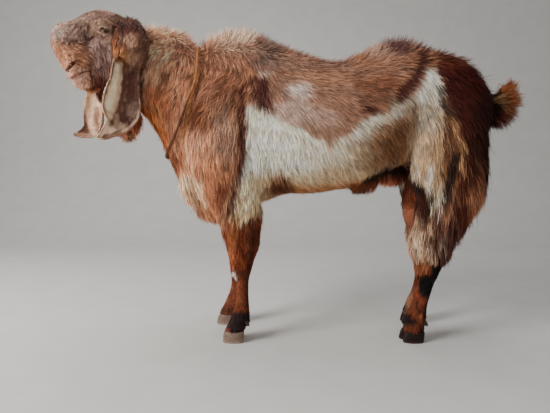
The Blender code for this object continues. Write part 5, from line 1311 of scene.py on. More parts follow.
# ---------------------------------------------------------------- tufts
class Surface:
    """A mesh that hair grows on, with its nearest point and outward direction for any place."""

    def __init__(self, mesh):
        self.co, self.no, self.tri = coords(mesh), normals(mesh), triangles_of(mesh)
        a, b, c = (self.co[self.tri[:, k]] for k in range(3))
        self.area = np.linalg.norm(np.cross(b - a, c - a), axis=1) / 2
        self.middle = (a + b + c) / 3
        self.tree = kdtree.KDTree(len(self.co))
        for i, v in enumerate(self.co.tolist()):
            self.tree.insert(v, i)
        self.tree.balance()

    def nearest(self, p):
        find = self.tree.find
        return np.fromiter((find(q)[1] for q in p.tolist()), np.int64, len(p))

    def scatter(self, density, rng):
        """Roots spread over the triangles, by area times density."""
        share = self.area * density
        count = int(share.sum())
        where = np.cumsum(share)
        face = np.searchsorted(where, (np.arange(count) + rng.random(count)) * where[-1] / count).clip(0, len(share) - 1)
        a, b = rng.random(count), rng.random(count)
        flip = a + b > 1
        a, b = np.where(flip, 1 - a, a), np.where(flip, 1 - b, b)
        tri = self.tri[face]
        w = np.stack([1 - a - b, a, b], 1)[..., None]
        at = (self.co[tri] * w).sum(1)
        out = unit((self.no[tri] * w).sum(1))
        return at, out, tri, w


def turned(v, axis, angle):
    """v turned about axis by angle."""
    c, s = np.cos(angle)[:, None], np.sin(angle)[:, None]
    return v * c + np.cross(axis, v) * s + axis * ((v * axis).sum(1, keepdims=True) * (1 - c))


def grow(surface, root, out, run, length, lift, side_angle, sway, phase, steps, droop):
    """Middle lines of tufts: from the root along the lie, lifted, drooping with gravity, never into the skin."""
    flat = run - out * (run * out).sum(1, keepdims=True)
    weak = np.linalg.norm(flat, axis=1) < 0.15
    flat[weak] += np.array((0.3, 0.0, -0.5)) - out[weak] * (out[weak] @ np.array((0.3, 0.0, -0.5)))[:, None]
    flat = turned(unit(flat), out, side_angle)
    direction = unit(flat * np.cos(lift)[:, None] + out * np.sin(lift)[:, None])
    at = root - out * 0.0012
    line, up = [at], [out]
    around = out
    lying = smoothstep(1.05, 0.60, lift)[:, None]
    for k in range(steps):
        step = (length / steps)[:, None]
        swing = sway * np.sin(phase + 5.0 * (k + 1) / steps)
        moving = turned(direction, around, swing)
        at = at + moving * step
        near = surface.nearest(at)
        around = surface.no[near]
        height = ((at - surface.co[near]) * around).sum(1)
        least = np.minimum(0.0012 + 0.22 * np.sin(lift) * length * (k + 1) / steps, 0.010)
        at = at + around * np.maximum(least - height, 0)[:, None]
        line.append(at)
        up.append(around)
        # later steps lean along the skin and hang
        inward = (direction * around).sum(1, keepdims=True)
        direction = unit(direction - around * inward * 0.35 * lying + np.array((0, 0, -1.0)) * (droop[:, None] * lying * (k + 1) / steps))
    return np.stack(line, 1), np.stack(up, 1)


CORD_LINE = None  # middle line of the neck cord, set once it has been laid


def tuck_under_cord(lines, ups):
    """Hair that would lie over the cord is pressed under it."""
    tree = kdtree.KDTree(len(CORD_LINE))
    for i, v in enumerate(CORD_LINE):
        tree.insert(v, i)
    tree.balance()
    flat = lines.reshape(-1, 3)
    low, high = CORD_LINE.min(0) - 0.012, CORD_LINE.max(0) + 0.012
    some = np.nonzero(((flat > low) & (flat < high)).all(1))[0]
    up = ups.reshape(-1, 3)
    for i in some:
        at, _, gap = tree.find(flat[i])
        if gap < 0.011:
            above = (flat[i] - np.array(at)) @ up[i]
            most = -0.0036 + 0.4 * max(gap - 0.0035, 0.0)
            if above > most:
                flat[i] -= up[i] * (above - most)
    return flat.reshape(lines.shape)


def chart(p, n):
    """Place on an unwrap of the surface: six flat charts, one for each way the skin faces."""
    low, high = p.min(0), p.max(0)
    q = (p - low) / np.maximum(high - low, 1e-4)
    axis = np.argmax(np.abs(n), 1)
    positive = n[np.arange(len(n)), axis] > 0
    a = np.where(axis == 0, q[:, 1], q[:, 0])
    b = np.where(axis == 2, q[:, 1], q[:, 2])
    which = axis * 2 + positive
    return np.stack([(which % 3 + 0.02 + 0.96 * a) / 3, (which // 3 + 0.02 + 0.96 * b) / 2], 1)


def ribbons(lines, ups, width, roll, root_uv, root_colour, tip_gain, deep=0.30):
    """Points, faces, places on the unwrap and colours of thin tapered tufts along the lines."""
    count, rings, _ = lines.shape
    along = np.empty_like(lines)
    along[:, 1:-1] = lines[:, 2:] - lines[:, :-2]
    along[:, 0], along[:, -1] = lines[:, 1] - lines[:, 0], lines[:, -1] - lines[:, -2]
    along = unit(along)
    across = unit(np.cross(along, ups))
    normal = np.cross(across, along)
    t = np.linspace(0, 1, rings)
    angle = roll[:, None] + 0.5 * t[None] * np.sign(roll)[:, None]
    across = across * np.cos(angle)[..., None] + normal * np.sin(angle)[..., None]
    profile = np.interp(t, (0, 0.30, 0.65, 1.0), (0.75, 1.0, 0.72, 0.0))
    half = (width[:, None] * profile[None] / 2)[..., None]
    pairs = np.stack([lines[:, :-1] - across[:, :-1] * half[:, :-1], lines[:, :-1] + across[:, :-1] * half[:, :-1]], 2)
    points = np.concatenate([pairs.reshape(count, -1, 3), lines[:, -1:]], 1)
    each = points.shape[1]
    base = (np.arange(count) * each)[:, None]
    quads = []
    for k in range(rings - 2):
        quads.append(base + np.array((2 * k, 2 * k + 1, 2 * k + 3, 2 * k + 2)))
    tips = base + np.array((2 * (rings - 2), 2 * (rings - 2) + 1, each - 1))
    quads = np.stack(quads, 1).reshape(-1, 4) if quads else np.zeros((0, 4), int)
    tv = np.concatenate([np.repeat(t[:-1], 2), [1.0]])
    uv_local = np.stack([np.concatenate([np.tile((-0.0015, 0.0015), rings - 1), [0.0]]), (tv - 0.5) * 0.003], 1)
    uv = (root_uv[:, None] + uv_local[None]).reshape(-1, 2)
    # roots painted darker as shade deep among the hair; tips lighter, partly bleached hair and partly painted light on
    # the strands' ends
    shade = 1 + (tip_gain[:, None] * (tv[None] ** 1.2)) - np.reshape(deep, (-1, 1)) * (1 - tv[None]) ** 2
    colour = np.clip(root_colour[:, None] * shade[..., None], 0.001, 0.98).reshape(-1, 3)
    return points.reshape(-1, 3), quads, tips, uv, colour


def finish_mesh(mesh, uv, colour):
    corner = np.empty(len(mesh.loops), np.int32)
    mesh.loops.foreach_get("vertex_index", corner)
    if uv is not None:
        layer = mesh.uv_layers.new(name="OFBake")
        layer.data.foreach_set("uv", uv[corner].astype(np.float32).ravel())
    if colour is not None:
        attribute = mesh.color_attributes.new("coat", "FLOAT_COLOR", "POINT")
        attribute.data.foreach_set("color", np.hstack([colour, np.ones((len(colour), 1))]).astype(np.float32).ravel())
        mesh.color_attributes.active_color = attribute
    mesh.polygons.foreach_set("use_smooth", np.ones(len(mesh.polygons), bool))
    mesh.update()


def tuft_object(name, parts):
    """One object from several results of ribbons()."""
    points, quads, tips, uvs, colours, offset = [], [], [], [], [], 0
    for p, q, t, uv, colour in parts:
        points.append(p)
        quads.append(q + offset)
        tips.append(t + offset)
        uvs.append(uv)
        colours.append(colour)
        offset += len(p)
    mesh = mesh_of(np.concatenate(points), [np.concatenate(quads), np.concatenate(tips)], name)
    finish_mesh(mesh, np.concatenate(uvs), np.concatenate(colours))
    return put(name, mesh)


# ---------------------------------------------------------------- materials
def new_material(name):
    made = bpy.data.materials.new(name)
    made.use_nodes = True
    return made, made.node_tree.nodes, made.node_tree.links, made.node_tree.nodes["Principled BSDF"]


def coat_material(name, roughness, bump, scale, sheen):
    made, nodes, links, shader = new_material(name)
    colour = nodes.new("ShaderNodeVertexColor")
    colour.layer_name = "coat"
    place = nodes.new("ShaderNodeTexCoord")
    grain = nodes.new("ShaderNodeTexNoise")
    grain.inputs["Scale"].default_value = scale
    grain.inputs["Detail"].default_value = 4.0
    grain.inputs["Roughness"].default_value = 0.6
    links.new(place.outputs["Object"], grain.inputs["Vector"])
    spread = nodes.new("ShaderNodeMapRange")
    spread.inputs["From Min"].default_value, spread.inputs["From Max"].default_value = 0.25, 0.75
    spread.inputs["To Min"].default_value, spread.inputs["To Max"].default_value = 0.80, 1.18
    links.new(grain.outputs["Fac"], spread.inputs["Value"])
    mixed = nodes.new("ShaderNodeMix")
    mixed.data_type, mixed.blend_type = "RGBA", "MULTIPLY"
    mixed.inputs["Factor"].default_value = 1.0
    links.new(colour.outputs["Color"], mixed.inputs[6])
    links.new(spread.outputs["Result"], mixed.inputs[7])
    links.new(mixed.outputs[2], shader.inputs["Base Color"])
    rough = nodes.new("ShaderNodeMapRange")
    rough.inputs["To Min"].default_value, rough.inputs["To Max"].default_value = roughness - 0.10, roughness + 0.12
    links.new(grain.outputs["Fac"], rough.inputs["Value"])
    links.new(rough.outputs["Result"], shader.inputs["Roughness"])
    shader.inputs["Specular IOR Level"].default_value = 0.16
    shader.inputs["Sheen Weight"].default_value = sheen
    shader.inputs["Sheen Roughness"].default_value = 0.45
    if bump:
        fine = nodes.new("ShaderNodeTexNoise")
        fine.inputs["Scale"].default_value = scale * 3.2
        fine.inputs["Detail"].default_value = 5.0
        links.new(place.outputs["Object"], fine.inputs["Vector"])
        push = nodes.new("ShaderNodeBump")
        push.inputs["Strength"].default_value = 0.55
        push.inputs["Distance"].default_value = bump
        links.new(fine.outputs["Fac"], push.inputs["Height"])
        links.new(push.outputs["Normal"], shader.inputs["Normal"])
    return made


# ---------------------------------------------------------------- finish of a piece
PIECES = []


def piece(obj, material, slot, *nodes_replaced):
    """Moves a piece from the modelling frame to the part's, dresses it and ties it to the body."""
    obj.data.transform(Matrix.Translation(Vector(SHIFT)))
    obj.data.materials.clear()
    obj.data.materials.append(material)
    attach(obj, "root")
    if nodes_replaced:
        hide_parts(*nodes_replaced)
    PIECES.append(obj)
    return obj


LEG_NODES = [a + "leg_" + b + "_" + c for a in ("fore", "hind") for b in ("left", "right") for c in ("upper", "lower")]


# ---------------------------------------------------------------- neck cord
def cord_line():
    """The cord's middle line, from the solid cord's own rings of vertices."""
    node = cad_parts["neck_cord"]
    at = coords(node.data) - SHIFT
    angle = np.degrees(np.arctan2(at[:, 1], at[:, 2] - 0.690)) % 360
    slot = np.round(angle / (360 / 38)).astype(int) % 38
    rings = np.array([at[slot == k].mean(0) for k in range(38) if (slot == k).any()])
    closed = np.vstack([rings, rings[:1]])
    n, out = len(rings), []
    for i in range(n):
        p0, p1, p2, p3 = (rings[(i + k) % n] for k in (-1, 0, 1, 2))
        for t in np.arange(14) / 14:
            out.append(0.5 * (2 * p1 + (p2 - p0) * t + (2 * p0 - 5 * p1 + 4 * p2 - p3) * t * t + (3 * p1 - p0 - 3 * p2 + p3) * t**3))
    return np.array(out)


def closed_tube(points, radius, sides, colour):
    """Points, faces and colours of a closed tube along a ring of points."""
    n = len(points)
    along = unit(np.roll(points, -1, 0) - np.roll(points, 1, 0))
    out = points - points.mean(0)
    out = unit(out - along * (out * along).sum(1, keepdims=True))
    across = np.cross(along, out)
    a = np.arange(sides) * 2 * math.pi / sides
    radius = np.broadcast_to(radius, n)[:, None, None]
    made = points[:, None] + radius * (out[:, None] * np.cos(a)[None, :, None] + across[:, None] * np.sin(a)[None, :, None])
    i, k = np.meshgrid(np.arange(n), np.arange(sides), indexing="ij")
    j, m = (i + 1) % n, (k + 1) % sides
    faces = np.stack([i * sides + k, j * sides + k, j * sides + m, i * sides + m], -1).reshape(-1, 4)
    return made.reshape(-1, 3), faces, np.repeat(colour, sides, 0)


def cord_object():
    line = CORD_LINE
    gap = np.linalg.norm(np.roll(line, -1, 0) - line, axis=1)
    along = np.concatenate([[0], np.cumsum(gap)])
    total = along[-1]
    s = np.linspace(0, total, int(total / 0.0017), endpoint=False)
    ring_line = np.vstack([line, line[:1]])
    at = np.stack([np.interp(s, along, ring_line[:, k]) for k in range(3)], 1)
    run = unit(np.roll(at, -1, 0) - np.roll(at, 1, 0))
    out = at - at.mean(0)
    out = unit(out - run * (out * run).sum(1, keepdims=True))
    across = np.cross(run, out)
    turns = round(total / 0.0150)
    points, faces, colours, offset = [], [], [], 0
    for ply in range(3):
        phase = 2 * math.pi * (turns * s / total + ply / 3)
        wobble = noise(at + ply * 3.1, 0.02, 61 + ply)
        reach = 0.00205 + 0.00025 * wobble
        here = at + out * (np.cos(phase) * reach)[:, None] + across * (np.sin(phase) * reach)[:, None]
        tint = 0.85 + 0.35 * noise(at * 3 + ply * 7.7, 0.03, 71 + ply)
        # tan above, darker brown lower down as painted shade on the cord's lower run
        cord_tan_and_low_shade = srgb(112, 70, 50) + (srgb(186, 124, 80) - srgb(112, 70, 50)) * smoothstep(0.660, 0.720, at[:, 2:3] + 0.01 * noise(at, 0.02, 66)[:, None])
        colour = cord_tan_and_low_shade * np.clip(tint, 0.4, 1.4)[:, None]
        p, f, c = closed_tube(here, 0.00195 + 0.00018 * wobble, 8, colour)
        points.append(p)
        faces.append(f + offset)
        colours.append(c)
        offset += len(p)
    mesh = mesh_of(np.concatenate(points), np.concatenate(faces), "cord")
    finish_mesh(mesh, None, np.concatenate(colours))
    return put("neck_cord_twisted", mesh)


# ---------------------------------------------------------------- eyes
def eye_object(s):
    at, look, ahead, above = eye_axes(s)
    rows, columns = 110, 144
    polar = np.linspace(0, math.pi, rows + 1)[1:-1]
    # closer rings over the iris and pupil
    polar = np.concatenate([np.linspace(0.010, 0.75, 84), np.linspace(0.78, math.pi - 0.05, 40)])
    turn = np.arange(columns) * 2 * math.pi / columns
    r = EYE_R + 0.0010 * smoothstep(0.62, 0.10, polar)
    a = (np.sin(polar) * r)[:, None] * np.cos(turn)[None]
    b = (np.sin(polar) * r)[:, None] * np.sin(turn)[None]
    h = np.broadcast_to((np.cos(polar) * r)[:, None], a.shape)
    q = np.stack([a.ravel(), b.ravel(), h.ravel()], 1)
    points = np.vstack([q @ np.stack([ahead, above, look]) + at, at + look * r[0] * 1.0, at - look * r[-1]])
    n = len(polar)
    faces = grid_faces(n, columns)
    k = np.arange(columns)
    first = np.stack([(k + 1) % columns, k, np.full(columns, n * columns)], 1)
    last = np.stack([k + (n - 1) * columns, (k + 1) % columns + (n - 1) * columns, np.full(columns, n * columns + 1)], 1)
    mesh = mesh_of(points, [faces, first, last], "eye")
    bm = bmesh.new()
    bm.from_mesh(mesh)
    bmesh.ops.recalc_face_normals(bm, faces=bm.faces)
    bm.to_mesh(mesh)
    bm.free()
    q = np.vstack([q, (0, 0, EYE_R), (0, 0, -EYE_R)])
    a, b = q[:, 0] + 0.0026, q[:, 1]
    r = np.hypot(a, b)
    angle = np.arctan2(b, a)
    ray = 0.5 + 0.5 * noise(np.stack([angle * 6, r * 120, np.full(len(r), float(s))], 1), 1.0, 31)
    colour = srgb(178, 132, 98) * (0.70 + 0.45 * ray)[:, None]
    colour += (srgb(188, 148, 112) - colour) * (0.50 * smoothstep(0.0085, 0.0045, r) * ray)[:, None]
    limbus = smoothstep(0.0062, 0.0074, r)
    colour += (srgb(110, 82, 62) - colour) * (0.7 * limbus)[:, None]
    colour += (srgb(150, 114, 94) - colour) * (smoothstep(0.0072, 0.0084, r) * (q[:, 2] > 0))[:, None]
    half = 0.0027 * (1 - 0.25 * (np.abs(a) / 0.0044) ** 2)
    pupil = smoothstep(0.00025, -0.00025, np.maximum(np.abs(a) - 0.0044, np.abs(b) - half)) * (q[:, 2] > 0)
    edge = smoothstep(0.0010, 0.0, np.maximum(np.abs(a) - 0.0044, np.abs(b) - half)) * (q[:, 2] > 0)
    colour *= (1 - 0.45 * edge)[:, None]
    colour += (srgb(14, 12, 14) - colour) * pupil[:, None]
    finish_mesh(mesh, None, np.clip(colour, 0.001, 0.95))
    return put("eyeball_left" if s > 0 else "eyeball_right", mesh)


# ---------------------------------------------------------------- ears
EAR_NEAR = (
    (-0.398, -0.120, 0.872, 0.016, 0.016, 0.014, -10),
    (-0.388, -0.136, 0.863, 0.030, 0.024, 0.020, -14),
    (-0.380, -0.150, 0.843, 0.038, 0.028, 0.022, -16),
    (-0.377, -0.160, 0.808, 0.0430, 0.028, 0.020, -16),
    (-0.380, -0.166, 0.776, 0.038, 0.026, 0.012, -14),
    (-0.3865, -0.168, 0.757, 0.034, 0.025, 0.002, -12),
    (-0.3905, -0.170, 0.721, 0.036, 0.024, -0.009, -10),
    (-0.398, -0.171, 0.683, 0.0455, 0.024, -0.016, -8),
    (-0.400, -0.172, 0.657, 0.048, 0.023, -0.017, -6),
    (-0.402, -0.173, 0.631, 0.045, 0.021, -0.015, -6),
    (-0.412, -0.174, 0.607, 0.033, 0.016, -0.011, -8),
    (-0.428, -0.175, 0.592, 0.021, 0.011, -0.006, -12),
    (-0.445, -0.176, 0.579, 0.013, 0.007, -0.002, -14),
    (-0.461, -0.177, 0.572, 0.004, 0.004, 0.001, -16),
)
EAR_FAR = (
    (-0.478, -0.066, 0.874, 0.018, 0.014, 0.012, 40),
    (-0.490, -0.052, 0.862, 0.028, 0.022, 0.018, 40),
    (-0.498, -0.044, 0.836, 0.033, 0.024, 0.018, 38),
    (-0.505, -0.038, 0.796, 0.034, 0.024, 0.010, 35),
    (-0.516, -0.034, 0.751, 0.031, 0.023, -0.004, 32),
    (-0.528, -0.032, 0.708, 0.033, 0.022, -0.012, 28),
    (-0.532, -0.031, 0.679, 0.035, 0.021, -0.014, 26),
    (-0.5335, -0.031, 0.650, 0.036, 0.019, -0.013, 24),
    (-0.5345, -0.031, 0.630, 0.035, 0.016, -0.011, 22),
    (-0.542, -0.031, 0.611, 0.030, 0.012, -0.008, 22),
    (-0.562, -0.030, 0.598, 0.015, 0.008, -0.003, 22),
    (-0.592, -0.028, 0.594, 0.004, 0.004, 0.001, 22),
)


def ear_object(name, table, near):
    """A long hanging ear: a thin sheet rolled shut at its root, opening forward further down."""
    rows = smooth_rows(table, 0.0042)
    n = 36
    rings, t_all, angle_all, inner_all = [], [], [], []
    lengths = np.concatenate([[0], np.cumsum(np.linalg.norm(np.diff(rows[:, :3], axis=0), axis=1))])
    for i, (x, y, z, w, back, front, turn) in enumerate(rows):
        a, b = rows[max(0, i - 1)][:3], rows[min(len(rows) - 1, i + 1)][:3]
        along = unit(b - a)
        t = math.radians(turn)
        face = np.array((-math.sin(t), -math.cos(t), 0))
        face = unit(face - along * (face @ along))
        side = unit(np.cross(along, face))
        shut = float(smoothstep(-0.008, 0.014, np.array(front)))
        theta = np.radians(np.linspace(-(94 + 118 * shut), 94 + 44 * shut, n))
        ripple = 1 + 0.05 * noise(np.array(((x * 1.0, y, z),)), 0.035, 45)[0] + 0.02 * noise(np.array(((x, y, z),)), 0.012, 46)[0]
        depth = np.where(np.cos(theta) > 0, back - 0.001, max(front, 0.005))
        px = w * np.sin(theta) * np.where(np.abs(theta) > math.radians(70), ripple, 1.0)
        py = -depth * np.sign(np.cos(theta)) * np.abs(np.cos(theta)) ** 0.85
        py = py + 0.0030 * smoothstep(math.radians(150), math.radians(200), -theta)
        # one long fold along the rear lobe
        py = py - 0.0022 * np.exp(-((np.degrees(theta) + 42) / 11) ** 2) * (1 - shut) * min(w / 0.03, 1)
        flat = np.stack([px, py], 1)
        run = np.gradient(flat, axis=0)
        run /= np.maximum(np.linalg.norm(run, axis=1, keepdims=True), 1e-9)
        inward = np.stack([-run[:, 1], run[:, 0]], 1)
        thick = min(0.0026, 0.30 * min(w, back + 0.002)) * (0.55 + 0.45 * np.sin(np.linspace(0, math.pi, n)) ** 0.4)
        inside = flat + inward * thick[:, None]
        both = np.vstack([flat, inside[::-1]])
        rings.append(np.array((x, y, z)) + both[:, :1] * side + both[:, 1:] * face)
        t_all.append(np.full(2 * n, lengths[i] / lengths[-1]))
        angle_all.append(np.degrees(np.concatenate([theta, theta[::-1]])))
        inner_all.append(np.concatenate([np.zeros(n), np.ones(n)]))
    t = np.concatenate(t_all + [[0.0, 1.0]])
    angle = np.concatenate(angle_all + [[0.0, 0.0]])
    inner = np.concatenate(inner_all + [[0.0, 0.0]])
    mesh = loft(rings, name)
    co = coords(mesh)
    shutness = np.interp(co[:, 2], np.sort(rows[:, 2]), smoothstep(-0.008, 0.014, rows[np.argsort(rows[:, 2]), 5]))
    set_coords(mesh, co + normals(mesh) * (0.0007 * noise(co, 0.011, 41) + 0.0004 * noise(co, 0.005, 42))[:, None])
    mottle = noise(co * (1, 1, 0.5), 0.010, 43) * 0.6 + noise(co * (1, 1, 0.4), 0.004, 44) * 0.4
    outward = normals(mesh)
    seen = smoothstep(-0.25, 0.15, -outward[:, 1] - 0.35 * outward[:, 0])
    ragged = noise(co, 0.008, 47)
    if near:
        colour = np.tile(srgb(112, 72, 54), (len(co), 1))
        colour += (srgb(176, 140, 116) - colour) * (smoothstep(0.70, 0.62, co[:, 2]) * 0.5)[:, None]
        shown = painted(to_picture(co), (124, 86, 66), EAR_NEAR_LAYERS, ragged)
    else:
        colour = np.tile(srgb(124, 84, 66), (len(co), 1))
        shown = painted(to_picture(co), (160, 120, 98), EAR_FAR_LAYERS, ragged)
    colour += (shown - colour) * seen[:, None]
    colour *= (1 + 0.16 * mottle)[:, None]
    colour *= (1 + 0.12 * smoothstep(0.35, 0.60, colour[:, 1]))[:, None]
    colour = np.clip(colour, 0.001, 0.97)
    finish_mesh(mesh, None, colour)
    return put(name, mesh), colour, np.stack([t, angle, inner], 1)


# ---------------------------------------------------------------- hooves, dew claws, scrotum
def claw_at(centre_x, centre_y, inner, low_rgb, rgb):
    n, levels = 44, 26
    z = np.concatenate([[0.0, 0.0006, 0.0018], np.linspace(0.0035, 0.0315, levels - 3)])
    back = np.interp(z, (0, 0.0045, 0.018, 0.0296, 0.0315), (0.0005, 0.0, 0.0020, 0.0045, 0.0050))
    size = np.interp(z, (0, 0.0006, 0.0018, 0.0045, 0.018, 0.0296, 0.0315), (0.905, 0.935, 0.965, 0.995, 0.965, 0.90, 0.86))
    a = np.arange(n) * 2 * math.pi / n
    c, s = np.cos(a), np.sin(a)
    px = np.sign(c) * np.abs(c) ** 0.8
    py = np.sign(s) * np.abs(s) ** np.where(s * inner > 0, 0.55, 0.85)
    taper = 1 - 0.28 * np.maximum(0.0, -px) ** 1.6
    rings, colours = [], []
    for k, level in enumerate(z):
        groove = 1 - 0.006 * (0.5 + 0.5 * np.sin(level * 1900 + 0.8 * px)) * (level > 0.003)
        grow_in = size[k] * groove
        p = np.stack([centre_x + back[k] + px * 0.0300 * grow_in, centre_y + py * 0.0130 * grow_in * taper, np.full(n, level)], 1)
        rings.append(p)
        band = 1 + 0.12 * math.sin(level * 1150 + 2) + 0.08 * math.sin(level * 2700)
        tone = srgb(*rgb) * band + (srgb(*low_rgb) - srgb(*rgb)) * float(smoothstep(0.010, 0.001, np.array(level)))
        colours.append(np.tile(tone, (n, 1)) * (1 + 0.20 * noise(p, 0.007, 51) + 0.12 * noise(p * (1, 1, 0.15), 0.002, 52))[:, None])
    mesh = loft(rings)
    return mesh, np.vstack(colours + [[srgb(*low_rgb)], [srgb(*rgb)]])


def joined_with_colour(name, made):
    points, corners, counts, colours, offset = [], [], [], [], 0
    for mesh, colour in made:
        points.append(coords(mesh))
        c = np.empty(len(mesh.loops), np.int32)
        mesh.loops.foreach_get("vertex_index", c)
        n = np.empty(len(mesh.polygons), np.int32)
        mesh.polygons.foreach_get("loop_total", n)
        corners.append(c + offset)
        counts.append(n)
        colours.append(colour)
        offset += len(mesh.vertices)
    corners, counts = np.concatenate(corners), np.concatenate(counts)
    mesh = bpy.data.meshes.new(name)
    mesh.vertices.add(offset)
    mesh.vertices.foreach_set("co", np.concatenate(points).astype(np.float32).ravel())
    mesh.loops.add(len(corners))
    mesh.loops.foreach_set("vertex_index", corners)
    mesh.polygons.add(len(counts))
    mesh.polygons.foreach_set("loop_start", np.concatenate([[0], np.cumsum(counts)[:-1]]).astype(np.int32))
    mesh.polygons.foreach_set("loop_total", counts)
    mesh.update(calc_edges=True)
    finish_mesh(mesh, None, np.clip(np.concatenate(colours), 0.001, 0.95))
    return put(name, mesh)


def feet(horn):
    for leg, rows in (("fore_left", FORE_LEFT), ("fore_right", FORE_RIGHT), ("hind_left", HIND_LEFT), ("hind_right", HIND_RIGHT)):
        x, y = rows[-2][1:3]
        fore = leg.startswith("fore")
        rgb, low = ((116, 96, 84), (146, 126, 112)) if fore else ((30, 18, 14), (56, 40, 32))
        claws, dews = [], []
        for inner, side in ((1, "outer" if y < 0 else "inner"), (-1, "inner" if y < 0 else "outer")):
            claws.append(claw_at(x - 0.004 - (0.003 if side == "inner" else 0.0), y - inner * 0.0150, inner, low, rgb))
            at = np.array((rows[-3][1] + 0.022, y - inner * 0.013, 0.061))
            rings = []
            for t in np.linspace(0, 1, 12):
                r = np.interp(t, (0.0, 0.35, 0.75, 1.0), (0.0060, 0.0064, 0.0050, 0.0018)) * (1 + 0.02 * math.sin(t * 40))
                rings.append(ring(at + np.array((0.012 * t, -inner * 0.002 * t, -0.013 * t)), (0, 1, 0), (0.7071, 0, 0.7071), r, r, r, 0, 2.0, 20))
            mesh = loft(rings)
            co = coords(mesh)
            dews.append((mesh, np.tile(srgb(70, 52, 46), (len(co), 1)) * (1 + 0.18 * noise(co, 0.004, 55))[:, None]))
        piece(joined_with_colour("hooves_" + leg, claws), horn, "horn", "claw_" + leg + "_inner", "claw_" + leg + "_outer")
        piece(joined_with_colour("dewclaws_" + leg, dews), horn, "horn", "dewclaw_" + leg + "_inner", "dewclaw_" + leg + "_outer")


def scrotum_object():
    rings = []
    table = ((0.500, 0.018, 0.022), (0.460, 0.022, 0.026), (0.420, 0.0285, 0.031), (0.385, 0.0335, 0.035), (0.355, 0.0325, 0.0345), (0.332, 0.0240, 0.026), (0.323, 0.0130, 0.0140), (0.3200, 0.0040, 0.0040))
    for z, _, _, rx, ry in smooth_rows([(z, 0, 0, a, b) for z, a, b in table], 0.0040):
        cleft = 1 - 0.10 * np.exp(-((np.cos(np.arange(56) * 2 * math.pi / 56) / 0.22) ** 2)) * float(smoothstep(0.40, 0.35, np.array(z)))
        r = ring((0, 0, z), (0, 1, 0), (1, 0, 0), ry, rx, rx, 0, 2.0, 56)
        r[:, :2] *= cleft[:, None]
        rings.append(r + np.array((0.414, -0.036, 0)))
    mesh = loft(rings)
    co = coords(mesh)
    wrinkle = noise(co * (1, 1, 2.6), 0.010, 57) * 0.0007 + noise(co * (1, 1, 3.0), 0.004, 58) * 0.0003
    set_coords(mesh, co + normals(mesh) * wrinkle[:, None])
    colour = np.tile(srgb(150, 88, 60), (len(co), 1))
    colour += (srgb(92, 56, 44) - colour) * smoothstep(0.42, 0.47, co[:, 2])[:, None]
    # painted shade in the wrinkles' grooves and painted light on their ridges, with tone that differs at random
    colour *= (1 + wrinkle[:, None] * 260 + 0.10 * noise(co, 0.02, 59)[:, None])
    finish_mesh(mesh, None, np.clip(colour, 0.001, 0.9))
    return put("scrotum_skin", mesh), np.clip(colour, 0.001, 0.9)


# ---------------------------------------------------------------- the coat
def lid_places(p):
    """1 where a place lies in either eye's opening."""
    bare = np.zeros(len(p), bool)
    for s in (1, -1):
        at, look, ahead, above = eye_axes(s)
        d = p - at
        a, b, h = d @ ahead, d @ above, d @ look
        bare |= (np.abs(a) < LID_HALF + 0.0006) & (np.abs(b) < np.abs(lid_edge(a, b > 0)) + 0.0005) & (h > 0) & (h < 0.03)
    return bare


def haired(p):
    """How much of the coat grows at each place: none on lids' inside, lips' edge, nostrils and soles."""
    q = to_head(p)
    here = np.stack([q[:, 0], np.abs(q[:, 1]), q[:, 2]], 1)
    share = np.where(lid_places(p), 0.0, 1.0)
    share *= smoothstep(0.0020, 0.0042, gap_to_line(here, MOUTH))
    share *= smoothstep(0.0044, 0.0072, gap_to_line(here, NOSTRIL))
    share *= smoothstep(0.0265, 0.0295, p[:, 2])
    return share


def room_at(p):
    """Length that the hair may have at each place without lying over the eye, nostril or mouth."""
    q = to_head(p)
    here = np.stack([q[:, 0], np.abs(q[:, 1]), q[:, 2]], 1)
    room = np.minimum(0.0035 + 1.1 * gap_to_line(here, MOUTH), 0.0030 + 1.0 * gap_to_line(here, NOSTRIL))
    for s in (1, -1):
        at, look, ahead, above = eye_axes(s)
        d = p - at
        a, b = d @ ahead, d @ above
        off = np.hypot(a / 1.25, b) - 0.0075
        room = np.where(np.abs(q[:, 1] - EYE_AT[1] * s) < 0.04, np.minimum(room, 0.0030 + 0.8 * np.maximum(off, 0)), room)
    return np.where(head_share(p) > 0.3, room, 1.0)


def region_of(p):
    """Name of the coat piece that each root belongs to."""
    x, y, z = p.T
    head = head_share(p) > 0.5
    q = to_head(p)
    side = np.where(y < 0, "left", "right")
    out = np.where(x < -0.20, "coat_neck_", np.where(x < 0.02, "coat_shoulder_", np.where(x < 0.24, "coat_flank_", np.where(x < 0.42, "coat_loin_", "coat_rump_"))))
    out = np.char.add(out, side)
    low = z < 0.385
    out = np.where(low & (x < 0.10) & (x > -0.19), np.char.add("coat_foreleg_", side), out)
    out = np.where(low & (x > 0.34), np.char.add("coat_hindleg_", side), out)
    out = np.where((x > 0.622) & (z > 0.62) & (np.abs(y) < 0.05), "coat_tail", out)
    out = np.where(head, "coat_head", out)
    out = np.where(head & (q[:, 0] > 0.142) & (q[:, 2] < -0.088), "coat_beard", out)
    return out


def tree_of(points):
    tree = kdtree.KDTree(len(points))
    for i, v in enumerate(points.tolist()):
        tree.insert(v, i)
    tree.balance()
    return tree


def nearest_of(tree, points):
    find = tree.find
    return np.fromiter((find(v)[1] for v in points.tolist()), np.int64, len(points))


def towards(lines, goal_lines, steps, reach, pull):
    """Draws lines towards others, which have 4 steps, more so at the tip."""
    share = np.arange(steps + 1) / steps
    place = np.clip(share[None] * reach[:, None], 0, 1) * 4
    low = np.minimum(place.astype(int), 3)
    part = (place - low)[..., None]
    index = np.arange(len(lines))[:, None]
    target = goal_lines[index, low] * (1 - part) + goal_lines[index, low + 1] * part
    return lines + (target - lines) * (pull[:, None] * share[None] ** 1.4)[..., None]


